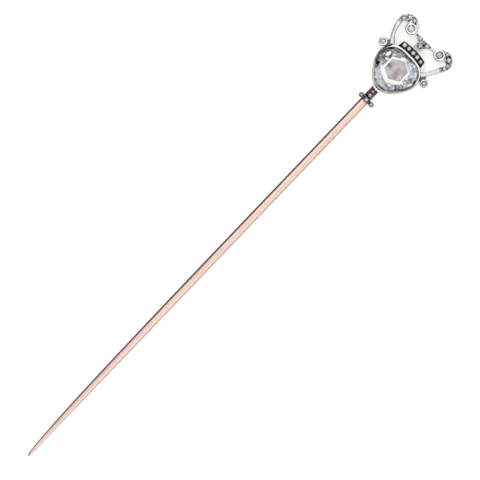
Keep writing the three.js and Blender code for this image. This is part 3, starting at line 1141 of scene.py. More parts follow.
class Maker:
    """What every sub-assembly does with a finished piece."""

    head_piece = True

    def dress(self, obj: Object, material: bpy.types.Material, slot: Slot, *nodes: str) -> Object:
        """Scales a piece to metres, leans it with the head, and gives it its finish and its body.

        Args:
            obj: The piece, in millimetres in the head's upright frame.
            material: Its finish.
            slot: The record's slot for its finish. It is not used.
            nodes: The nodes it stands for.

        Returns:
            The piece.
        """
        lean = Matrix.Rotation(-HEAD_LEAN, 4, "Z") if self.head_piece else Matrix.Identity(4)
        pivot = Matrix.Translation((0, NECK_Y, 0))
        obj.matrix_world = Matrix.Scale(MM, 4) @ pivot @ lean @ pivot.inverted() @ obj.matrix_world
        Bench.settle(obj)
        obj.data.materials.clear()
        obj.data.materials.append(material)
        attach(obj, BODY)
        if nodes:
            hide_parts(*nodes)
        log.info("%s: %d faces, stands for %s", obj.name, len(obj.data.polygons), nodes or "nothing")
        return obj


def mark(obj: Object, name: str, numbers: Iterable[float], domain: str = "FACE") -> None:
    """Stores a number on each face, or each point, of a mesh."""
    attribute = obj.data.attributes.new(name, "FLOAT", domain)
    attribute.data.foreach_set("value", list(numbers))


# ---- The stem ----


@dataclass
class Stem(Maker):
    """The long tapered wire that the head sits on."""

    radius: float = 0.71
    tip_y: float = -90.8
    top_y: float = -4.25
    taper_share: float = 0.62
    taper_length: float = 14.0
    point_length: float = 1.0
    bend: float = 0.33
    bend_length: float = 6.5
    bow: float = 0.05
    bow_share: float = 0.9
    aside: float = 0.03
    oval: float = 1.04
    tip_share: float = 0.04
    crowding: float = 2.6
    flat_z: float = 1.12
    flat_y: float = -7.3
    sides: int = 48
    rings: int = 46
    finish: RoseGold = field(default_factory=RoseGold)
    head_piece = False

    def radius_at(self, distance: float) -> float:
        """The stem's radius at a distance from its tip.

        Args:
            distance: How far from the tip.

        Returns:
            The radius.
        """
        taper = 1 - self.taper_share * math.exp(-distance / self.taper_length)
        point = min(distance / self.point_length, 1.0)
        return self.radius * taper * math.sqrt(max(1 - (1 - point) ** 2, self.tip_share**2))

    def middle_at(self, distance: float) -> float:
        """The x of the stem's middle: bent at the tip, and bowed a little after it.

        Args:
            distance: How far from the tip.

        Returns:
            The middle's x.
        """
        share = distance / (self.top_y - self.tip_y)
        bow = self.aside + self.bow * math.sin(math.pi * min(1.0, share / self.bow_share))
        return self.bend * math.exp(-distance / self.bend_length) - bow

    def ring(self, distance: float) -> Ring:
        """The ring of points at a distance from the tip.

        Args:
            distance: How far from the tip.

        Returns:
            The ring of points.
        """
        radius = self.radius_at(distance)
        middle = self.middle_at(distance)
        y = self.tip_y + distance
        points = []
        for i in range(self.sides):
            angle = 2 * math.pi * (i + 0.5) / self.sides
            z = self.radius + radius * math.sin(angle)
            if y > self.flat_y:
                z = min(z, self.flat_z)
            points.append((middle + self.oval * radius * math.cos(angle), y, z))
        return points

    def build(self) -> None:
        """Models and dresses the stem."""
        length = self.top_y - self.tip_y
        step = self.flat_y - self.tip_y
        distances = [length * (i / self.rings) ** self.crowding for i in range(self.rings + 1)]
        distances = sorted([*distances, step - 0.02, step + 0.001])
        stem = Bench.loft("gold_stem", [self.ring(d) for d in distances])
        numbers = []
        for vertex in stem.data.vertices:
            distance = vertex.co.y - self.tip_y
            half = self.oval * self.radius_at(distance)
            numbers.append((vertex.co.x - self.middle_at(distance)) / half)
        mark(stem, "side", numbers, "POINT")
        Bench.smooth(stem, 40)
        self.dress(stem, self.finish.build(), Slot.ROSE_GOLD, "stem")


# ---- The bowl ----


@dataclass
class Bowl(Maker):
    """The large stone, the silver collet round it, the gold plate behind it and the foil between."""

    radius: float = 4.16
    lift: float = 0.15
    width: float = 0.11
    shoulders: float = 0.32
    corners: float = -0.034
    sides: int = 144
    lean_angle: float = 178.0
    lean_spread: float = 42.0
    rise_spread: float = 52.0
    rise_fade: float = 16.0
    stone_inset: float = 0.43
    stone_base: float = 1.28
    girdle_z: float = 1.5
    table: Point = (0.06, 0.3)
    table_radius: float = 2.24
    table_z: float = 2.86
    apex_z: float = 3.34
    girdle_spread: float = 1.04
    girdle_drop: float = 0.06
    bevel: float = 0.16
    turn: float = math.radians(2)

    def radius_at(self, angle: float) -> float:
        """The bowl's outline: its distance from the middle at an angle.

        Args:
            angle: The angle, in radians.

        Returns:
            The distance.
        """
        return (
            self.radius
            + self.lift * math.sin(angle)
            + self.width * math.cos(2 * angle)
            + self.shoulders * math.sin(3 * angle)
            + self.corners * math.cos(4 * angle)
        )

    def top_at(self, x: float) -> float:
        """The height of the bowl's outline over a point of its width.

        Args:
            x: Where across the bowl.

        Returns:
            The height, as a y.
        """
        angle = math.pi / 2
        for _ in range(30):
            angle = math.acos(max(-1.0, min(1.0, x / self.radius_at(angle))))
        return self.radius_at(angle) * math.sin(angle)

    def ring(
        self, outside: float, z: float, lobes: float = 0.0, lean: float = 0.0, rise: float = 0.0
    ) -> Ring:
        """The bowl's outline moved outwards, at a height.

        Args:
            outside: How far outside the outline, or inside it if negative.
            z: The height.
            lobes: How unevenly the edge was rubbed over.
            lean: How much further inside it lies on the left.
            rise: How much further outside it lies at the top.

        Returns:
            The ring of points.
        """
        points = []
        for i in range(self.sides):
            angle = 2 * math.pi * i / self.sides
            uneven = lobes * (math.sin(19 * angle) + 0.7 * math.sin(31 * angle + 1.3))
            degrees = math.degrees(angle)
            left = max(0.0, 1.0 - abs(degrees - self.lean_angle) / self.lean_spread)
            top = max(0.0, min(1.0, (self.rise_spread - abs(degrees - 90.0)) / self.rise_fade))
            reach = self.radius_at(angle) + outside + uneven
            reach += rise * math.sin(0.5 * math.pi * top) - lean * math.sin(0.5 * math.pi * left)
            points.append((reach * math.cos(angle), reach * math.sin(angle), z + 0.6 * uneven))
        return points

    def collet(self) -> Object:
        """The silver cup with its lip rubbed over the stone's edge.

        Returns:
            The collet.
        """
        # Each row holds what ring() takes: outside, z, lobes, lean, rise.
        profile = [
            (-0.03, 0.34, 0),
            (0.0, 0.37, 0),
            (0.0, 0.55, 0),
            (-0.05, 0.62, 0),
            (-0.08, 1.1, 0, 0.03, 0.04),
            (-0.14, 1.5, 0.004, 0.1, 0.1),
            (-0.13, 1.62, 0.012, 0.16, 0.12),
            (-0.12, 1.74, 0.016, 0.2, 0.12),
            (-0.14, 1.88, 0.016, 0.19, 0.12),
            (-0.2, 1.98, 0.014, 0.14, 0.14),
            (-0.27, 2.02, 0.012, 0.09, 0.1),
            (-0.34, 2.0, 0.012, 0.03, 0.04),
            (-0.4, 1.93, 0.012),
            (-0.44, 1.8, 0.01),
            (-0.455, 1.62, 0.004),
            (-0.44, 1.3),
            (-0.6, 1.22),
            (-0.62, 0.45),
        ]
        return Bench.loft("bowl_cup", [self.ring(*row) for row in profile])

    def back_plate(self) -> Object:
        """The flat gold plate behind the bowl, its edges softened.

        Returns:
            The plate.
        """
        plate = Bench.loft("gold_back", [self.ring(0.0, 0.0), self.ring(0.0, 0.33)])
        Bench.round_edges(plate, 0.05, 3, lambda a, b: abs(a.z - b.z) < 0.01)
        return plate

    def facet_corners(self) -> tuple[Vector, list[Vector], list[Vector]]:
        """The stone's corners: its apex, six round the table, and twelve out past the girdle.

        Returns:
            The apex, the table's corners and the girdle's corners.
        """
        apex = Vector((*self.table, self.apex_z))
        table, girdle = [], []
        for i in range(12):
            angle = self.turn + math.radians(90 + 30 * i)
            x, y = math.cos(angle), math.sin(angle)
            reach = (self.radius_at(angle) - self.stone_inset) * self.girdle_spread
            girdle.append(Vector((reach * x, reach * y, self.girdle_z - self.girdle_drop)))
            if i % 2 == 0:
                middle = Vector((*self.table, self.table_z))
                table.append(middle + Vector((x, y, 0)) * self.table_radius)
        return apex, table, girdle

    def facets(self) -> list[tuple[Vector, Vector]]:
        """The planes of the crown's facets, each as a point and an outward normal.

        Returns:
            A point and a normal for each facet.
        """
        apex, table, girdle = self.facet_corners()
        corners = []
        for i in range(6):
            here, after = table[i], table[(i + 1) % 6]
            left, middle, right = girdle[2 * i - 1], girdle[2 * i], girdle[2 * i + 1]
            corners += [(apex, here, after), (here, right, after)]
            corners += [(here, left, middle), (here, middle, right)]
        planes = []
        for a, b, c in corners:
            normal = (b - a).cross(c - a).normalized()
            planes.append((a, normal if normal.z > 0 else -normal))
        return planes

    def stone(self) -> Object:
        """The large stone, its crown cut one facet at a time.

        Returns:
            The stone.
        """
        stone = Bench.loft(
            "large_rose",
            [
                self.ring(-self.stone_inset, self.stone_base),
                self.ring(-self.stone_inset, self.apex_z + 0.4),
            ],
        )
        for place, normal in self.facets():
            Bench.edit(stone, "FACE", lambda _centre, _normal: True)
            bpy.ops.mesh.bisect(
                plane_co=place, plane_no=normal, use_fill=True, clear_outer=True, threshold=1e-5
            )
        Bench.finish(stone)
        _, table, _ = self.facet_corners()

        def round_table(a: Vector, b: Vector) -> bool:
            """Says whether an edge is one of the six round the table."""
            return all(min((end - corner).length for corner in table) < 0.02 for end in (a, b))

        Bench.round_edges(stone, self.bevel, 1, round_table)
        return stone

    def tone_stone(self, stone: Object) -> None:
        """Gives each facet a painted tone of reflected light, the bevels round the table a white painted
        highlight, and marks the six under the apex and the bevels round them.

        Args:
            stone: The large stone.
        """
        rows = []
        middle = Vector((*self.table, 0.0))
        edge = self.table_radius * math.cos(math.radians(30))
        for face in stone.data.polygons:
            x, y = (face.center - middle).xy
            reach = math.hypot(x, y)
            glint = math.sin(7 * math.atan2(y, x) + 3 * reach)
            upward = face.normal.z > 0.5
            if upward and reach < 0.85 * edge:
                rows.append((0.53 + 0.03 * glint, 1.0, 1.0))
            elif upward and reach < 1.08 * edge and face.area < 0.8:
                rows.append((1.05, 1.0, 0.0))
            else:
                rows.append((0.6 + 0.08 * glint, 0.0, 0.0))
        for name, numbers in zip(("tone", "inner", "table"), zip(*rows, strict=True), strict=True):
            mark(stone, name, numbers)

    def build(self) -> None:
        """Models and dresses the bowl."""
        collet = self.collet()
        places = [vertex.co for vertex in collet.data.vertices]
        numbers = [place.xy.length - self.radius_at(math.atan2(place.y, place.x)) for place in places]
        mark(collet, "reach", numbers, "POINT")
        Bench.smooth(collet, 50)
        rim = ColletSilver(
            "collet_silver",
            low=1.5,
            high=1.8,
            bright=(0.88, 0.87, 0.82),
            stain=0.12,
            shades=(
                Spot(4.0, -0.6, 0.8, 1.5, 0.85, -8, 0.35),
                Spot(2.9, -2.7, 0.7, 1.7, 0.55, -40, 0.35),
                Spot(-3.9, -0.2, 0.8, 2.1, 0.8, 10, 0.35),
                Spot(1.1, -3.75, 0.4, 0.45, 0.45, 0, 0.35),
            ),
        )
        self.dress(collet, rim.build(), Slot.SILVER, "bowl_collet")
        plate = self.back_plate()
        Bench.smooth(plate)
        self.dress(plate, Gold().build(), Slot.BACKING_GOLD, "back_plate")
        stone = self.stone()
        self.tone_stone(stone)
        self.dress(stone, LargeDiamond().build(), Slot.DIAMOND, "bowl_stone")
        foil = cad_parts["foil_liner"]
        foil.data.materials.clear()
        foil.data.materials.append(Foil().build())


# ---- Small stones and grains ----


class Stones(Maker):
    """The small stones, cut once and copied to every seat."""

    head_piece = False
    height = 0.74

    def __init__(self) -> None:
        """Cuts the pattern stone and makes its finish."""
        self.draw = random.Random(5)
        self.finish = SmallDiamond().build()
        self.pattern = self.cut()

    def cut(self) -> Object:
        """A rose-cut stone of unit radius: a low girdle, and two rows of facets that rise to a point.

        Returns:
            The pattern stone.
        """
        stone = Bench.loft("rose_pattern", turned_rings([(0.93, 0.0), (1.0, 0.1), (1.0, 0.2)], 0, 0, 12))
        Bench.edit(stone, "FACE", lambda centre, normal: normal.z > 0.9 and centre.z > 0.19)
        bpy.ops.mesh.extrude_region_move(TRANSFORM_OT_translate={"value": (0, 0, 0.34)})
        bpy.ops.transform.resize(value=(0.58, 0.58, 1), center_override=(0, 0, 0))
        bpy.ops.mesh.poke(offset=0.2)
        Bench.finish(stone)
        return stone

    def set(self, node: str, light: float, share: float = 1.0) -> tuple[Vector, float]:
        """Sets a copy of the pattern stone where a node is.

        Args:
            node: The stone's node.
            light: How bright it looks, from 0 to 1.
            share: Its width, as a share of the node's.

        Returns:
            Its centre in the row frame in millimetres, and its radius.
        """
        low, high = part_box(node)
        middle = (low + high) / 2 / MM
        radius = share * (high.x - low.x) / 2 / MM
        stone = Bench.copy(self.pattern, node.replace("_stone", "_rose"))
        stone.scale = (radius, radius, (high.z - low.z) / MM / self.height)
        stone.rotation_euler.z = self.draw.uniform(0, math.pi)
        stone.location = (middle.x, middle.y, low.z / MM)
        Bench.settle(stone)
        # Each facet's tone is painted reflected light, with a painted glint that winds round the stone.
        phase = self.draw.uniform(0, 2 * math.pi)
        tones = []
        for face in stone.data.polygons:
            x, y = face.center.x - middle.x, face.center.y - middle.y
            wave = math.sin(5 * math.atan2(y, x) + 4 * math.hypot(x, y) / radius + phase)
            glint = 0.5 + 0.5 * wave
            flat = face.normal.z > 0.9
            tones.append(light - 0.15 + 0.4 * glint if flat else light * (0.4 + 0.75 * glint))
        mark(stone, "tone", tones)
        self.dress(stone, self.finish, Slot.DIAMOND, node)
        return middle, radius

    def put_away(self) -> None:
        """Removes the pattern stone."""
        bpy.data.objects.remove(self.pattern)


def upright(point: Vector) -> Point:
    """A point of the row frame in the head's own upright frame, in millimetres.

    Args:
        point: The point, in millimetres.

    Returns:
        Its x and y in the head's frame.
    """
    x, y = point.x, point.y - NECK_Y
    c, s = math.cos(HEAD_LEAN), math.sin(HEAD_LEAN)
    return (x * c - y * s, x * s + y * c + NECK_Y)


@dataclass
class JewelledPlate(Maker):
    """A silver plate with a raised edge, black ground, small stones, and grains that hold them."""

    name: str
    outline: list[Point]
    low: float
    high: float
    node: str
    stone_nodes: list[str]
    stones: Stones
    finish: Silver
    slot: Slot
    lights: Sequence[float]
    border: float = 0.1
    seat_shadow_width: float = 0.1
    depth: float = 0.16
    grain: float = 0.095
    grains_each: int = 5
    grain_reach: float = 0.45
    grain_spacing: float = 1.5
    grain_scatter: float = 0.15
    grain_sizes: Point = (0.8, 1.15)
    grain_flatness: float = 0.85
    grain_sunk: float = 0.03

    def grain_places(self, seats: list[tuple[Point, float]]) -> list[Point]:
        """Where grains stand: round each stone, on the plate, and clear of the other stones.

        Args:
            seats: The stones' centres and radii.

        Returns:
            The grains' centres.
        """
        draw = random.Random(self.name)
        places: list[Point] = []
        for (x, y), radius in seats:
            start = draw.uniform(0, 2 * math.pi)
            for i in range(self.grains_each):
                scatter = draw.uniform(-self.grain_scatter, self.grain_scatter)
                angle = start + 2 * math.pi * i / self.grains_each + scatter
                reach = radius + self.grain_reach * self.grain
                place = (x + reach * math.cos(angle), y + reach * math.sin(angle))
                clear = all(math.dist(place, other) > r for other, r in seats if other != (x, y))
                spacing = self.grain_spacing * self.grain
                apart = all(math.dist(place, other) > spacing for other in places)
                if clear and apart and inside(place, self.outline):
                    places.append(place)
        return places

    def grains(self, places: list[Point]) -> Object:
        """The beads raised from the plate, one at each place.

        Args:
            places: The grains' centres.

        Returns:
            The grains, as one object.
        """
        draw = random.Random(self.name + "grain")
        Bench.clear()
        bpy.ops.mesh.primitive_ico_sphere_add(subdivisions=2, radius=self.grain)
        bead = bpy.context.active_object
        beads = []
        for i, (x, y) in enumerate(places):
            one = Bench.copy(bead, f"{self.name}_grain_{i}")
            size = draw.uniform(*self.grain_sizes)
            one.scale = (size, size, self.grain_flatness * size)
            one.location = (x, y, self.high - self.grain_sunk)
            beads.append(one)
        bpy.data.objects.remove(bead)
        for one in beads:
            Bench.settle(one)
        return Bench.join(beads, f"{self.name}_grains")

    def build(self) -> None:
        """Models and dresses the plate, its stones and its grains."""
        profile = [
            (0.03, self.low),
            (0.0, self.low + 0.03),
            (0.0, self.high - 0.08),
            (0.02, self.high - 0.02),
            (0.05, self.high),
            (self.border, self.high - 0.01),
            (self.border + 0.03, self.high - self.depth),
        ]
        plate = Bench.moulded(self.name, self.outline, profile)
        Bench.smooth(plate, 40)
        seats, painted_shadows = [], []
        for node, light in zip(self.stone_nodes, self.lights, strict=True):
            middle, radius = self.stones.set(node, light)
            seats.append((upright(middle), radius))
            # Painted shadow: a black ring round each stone in its seat.
            painted_shadows.append(Spot(middle.x, middle.y, radius + self.seat_shadow_width, radius + self.seat_shadow_width, 0.0))
        material = replace(self.finish, painted_shadows=(*self.finish.painted_shadows, *painted_shadows)).build()
        self.dress(plate, material, self.slot, self.node)
        grains = self.grains(self.grain_places(seats))
        Bench.smooth(grains, 80)
        self.dress(grains, material, self.slot)


@dataclass
class Backing(Maker):
    """The gold layer soldered behind a silver plate."""

    name: str
    outline: list[Point]
    low: float
    high: float
    node: str
    finish: bpy.types.Material

    def build(self) -> None:
        """Models and dresses the layer."""
        profile = [(0.06, self.low), (0.02, self.low + 0.02), (0.0, self.low + 0.06), (0.0, self.high)]
        layer = Bench.moulded(self.name, self.outline, profile)
        Bench.smooth(layer)
        self.dress(layer, self.finish, Slot.BACKING_GOLD, self.node)


@dataclass
class RoundCollet(Maker):
    """A small tapered tube with its lip rubbed over one stone."""

    name: str
    x: float
    y: float
    radius: float
    stone_radius: float
    low: float
    high: float
    stones: Stones
    finish: bpy.types.Material
    light: float
    sides: int = 40
    stone_share: float = 0.9

    def build(self) -> None:
        """Models and dresses the collet, and sets its stone."""
        r, s = self.radius, self.stone_share * self.stone_radius + 0.01
        profile = [
            (r - 0.03, self.low),
            (r, self.low + 0.03),
            (r - 0.02, self.low + 0.3),
            (r - 0.08, self.high - 0.34),
            (r - 0.06, self.high - 0.22),
            (r - 0.06, self.high - 0.1),
            (r - 0.1, self.high - 0.03),
            (r - 0.16, self.high),
            (s + 0.08, self.high),
            (s + 0.02, self.high - 0.05),
            (s, self.high - 0.15),
            (s - 0.01, self.high - 0.42),
            (s - 0.1, self.high - 0.46),
        ]
        tube = Bench.loft(f"{self.name}_tube", turned_rings(profile, self.x, self.y, self.sides))
        Bench.smooth(tube, 50)
        self.dress(tube, self.finish, Slot.SILVER, f"{self.name}_collet")
        self.stones.set(f"{self.name}_stone", self.light, self.stone_share)


# ---- The lip, neck and foot ----


@dataclass
class Lip(Maker):
    """The curved dark bar at the urn's mouth, and its gold layer."""

    bowl: Bowl
    stones: Stones
    gold: bpy.types.Material
    half_top: float = 2.54
    half_bottom: float = 2.72
    top_y: float = 4.77
    rise: float = 0.27
    clearance: float = 0.04
    steps: int = 24

    def outline(self) -> list[Point]:
        """The bar's outline, its lower side following the bowl.

        Returns:
            The outline, anticlockwise.
        """
        points = []
        for i in range(self.steps + 1):
            share = 2 * i / self.steps - 1
            points.append((-self.half_top * share, self.top_y + self.rise * (1 - share**2)))
        for i in range(self.steps + 1):
            x = self.half_bottom * (2 * i / self.steps - 1)
            points.append((x, self.bowl.top_at(x) + self.clearance))
        return anticlockwise(points)

    def build(self) -> None:
        """Models and dresses the bar."""
        outline = self.outline()
        Backing("lip_gold", outline, 0.6, 1.03, "lip_backing", self.gold).build()
        JewelledPlate(
            name="lip_front",
            outline=outline,
            low=1.05,
            high=2.0,
            node="lip_bar",
            stone_nodes=[f"lip_stone_{i}" for i in range(1, 6)],
            stones=self.stones,
            finish=Silver("lip_silver", low=2.0, high=2.1, ground=(0.012, 0.012, 0.014), stain=0.4),
            slot=Slot.DARK_SILVER,
            lights=(0.85, 0.55, 0.72, 0.7, 0.42),
        ).build()


@dataclass
class Foot(Maker):
    """The neck with its stones, the lobed foot bar and the collar under the bowl."""

    stones: Stones
    gold: bpy.types.Material
    silver: bpy.types.Material
    x: float = 0.14
    y: float = -6.84
    knob_x: float = 1.21
    knob_radius: float = 0.46
    half_height: float = 0.4
    waist_share: float = 0.93
    lobe_steps: int = 14
    neck_half: float = 0.53
    neck_waist: float = 0.06
    neck_steps: int = 8
    neck_low: float = -6.5
    neck_high: float = -4.5

    def bar_outline(self) -> list[Point]:
        """The foot bar: a strip that ends in a lobe at each side.

        Returns:
            The outline, anticlockwise.
        """
        points = []
        waist = math.asin(self.half_height * self.waist_share / self.knob_radius)
        for side in (1, -1):
            start = -(math.pi - waist) if side > 0 else waist
            sweep = 2 * (math.pi - waist)
            for i in range(self.lobe_steps + 1):
                angle = start + sweep * i / self.lobe_steps
                x = self.x + side * self.knob_x + self.knob_radius * math.cos(angle)
                points.append((x, self.y + self.knob_radius * math.sin(angle)))
        return anticlockwise(points)

    def neck_outline(self) -> list[Point]:
        """The neck: a strip that narrows a little in its middle.

        Returns:
            The outline, anticlockwise.
        """
        points = []
        for i in range(self.neck_steps + 1):
            share = i / self.neck_steps
            y = self.neck_low + (self.neck_high - self.neck_low) * share
            points.append((self.neck_half - self.neck_waist * math.sin(math.pi * share), y))
        return anticlockwise([*points, *((-x, y) for x, y in reversed(points))])

    def collar(self) -> Object:
        """The two small leaves between the bowl and the neck.

        Returns:
            The leaves and the knot between them, as one object.
        """
        profile = [(0.05, 1.15), (0.0, 1.2), (0.0, 1.55), (0.03, 1.64), (0.09, 1.7), (0.14, 1.72)]
        leaves = []
        for side in (1, -1):
            middle = spline([(side * 0.16, -4.5), (side * 0.42, -4.34), (side * 0.78, -3.98)], 6)
            outline = ribbon(middle, lambda t: 0.08 + 0.2 * math.sin(math.pi * min(1.0, 0.25 + 0.75 * t)))
            leaves.append(Bench.moulded(f"leaf_{side}", outline, profile))
        knot_profile = [(0.3, 1.15), (0.36, 1.3), (0.34, 1.62), (0.2, 1.78)]
        knot = Bench.loft("knot", turned_rings(knot_profile, 0.05, -4.4, 24))
        return Bench.join([*leaves, knot], "collar_leaves")

    def build(self) -> None:
        """Models and dresses the foot."""
        bar = self.bar_outline()
        Backing("foot_gold", bar, 1.15, 1.33, "foot_backing", self.gold).build()
        JewelledPlate(
            name="neck_front",
            outline=self.neck_outline(),
            low=1.15,
            high=1.78,
            node="neck_plate",
            stone_nodes=["neck_stone_1", "neck_stone_2"],
            stones=self.stones,
            finish=Silver("neck_silver", low=1.78, high=1.88, stain=0.5),
            slot=Slot.DARK_SILVER,
            lights=(0.2, 0.48),
            border=0.06,
        ).build()
        JewelledPlate(
            name="foot_front",
            outline=bar,
            low=1.34,
            high=1.98,
            node="foot_bar",
            stone_nodes=[f"foot_stone_{i}" for i in range(1, 4)],
            stones=self.stones,
            finish=Silver("foot_silver", low=1.93, high=2.04, ground=(0.025, 0.025, 0.028), stain=0.4),
            slot=Slot.DARK_SILVER,
            lights=(0.38, 0.95, 0.55),
            border=0.1,
            seat_shadow_width=0.06,
        ).build()
        collar = self.collar()
        Bench.smooth(collar, 50)
        self.dress(collar, self.silver, Slot.SILVER, "foot_collar")


# ---- The crest ----


@dataclass
class Crest(Maker):
    """The triangular crest with hollow sides, and its arms to the scrolls."""

    stones: Stones
    gold: bpy.types.Material
    top_y: float = 7.45
    arm_y: float = 6.98
    arm_x: float = 2.45
    waist_x: float = 0.78
    waist_y: float = 5.75
    base_x: float = 0.8
    base_y: float = 4.95

    def outline(self) -> list[Point]:
        """The crest's outline.

        Returns:
            The outline, anticlockwise.
        """
        flank = bezier(
            [(self.arm_x, self.arm_y), (1.25, 6.95), (0.82, 6.4), (self.waist_x, self.waist_y)],
            14,
        )
        half = [*flank, (self.base_x, self.base_y)]
        return anticlockwise(
            [
                (-self.arm_x, self.top_y),
                *((-x, y) for x, y in half),
                *reversed(half),
                (self.arm_x, self.top_y),
            ]
        )

    def build(self) -> None:
        """Models and dresses the crest."""
        outline = self.outline()
        Backing("crest_gold", outline, *GOLD_LAYER, "crest_backing", self.gold).build()
        JewelledPlate(
            name="crest_front",
            outline=outline,
            low=SILVER_LAYER[0],
            high=SILVER_LAYER[1],
            node="crest_plate",
            stone_nodes=[f"crest_stone_{i}" for i in range(1, 5)],
            stones=self.stones,
            finish=Silver(
                "crest_silver",
                low=1.84,
                high=1.92,
                ground=(0.40, 0.40, 0.38),
                stain=0.4,
                shades=(
                    Spot(0.0, 5.6, 1.1, 0.8, 0.36, 0, 0.3),
                    Spot(1.4, 6.8, 0.4, 0.35, 0.45, 0, 0.4),
                    Spot(-0.55, 6.9, 0.4, 0.3, 0.3, 0, 0.4),
                ),
                # Painted shadow between the stones and the parts.
                painted_shadows=(
                    Spot(0.74, 6.68, 0.3, 0.42, 0, 0),
                    Spot(0.98, 7.2, 0.3, 0.18, 0, 30),
                    Spot(1.75, 7.12, 0.22, 0.28, 0),
                    Spot(1.35, 6.38, 0.42, 0.2, 0, 35),
                    Spot(-0.3, 6.68, 0.2, 0.16, 0),
                    Spot(-1.2, 7.2, 0.2, 0.14, 0),
                ),
            ),
            slot=Slot.SILVER,
            lights=(0.5, 0.42, 0.62, 0.52),
            border=0.12,
        ).build()


# ---- The handles ----


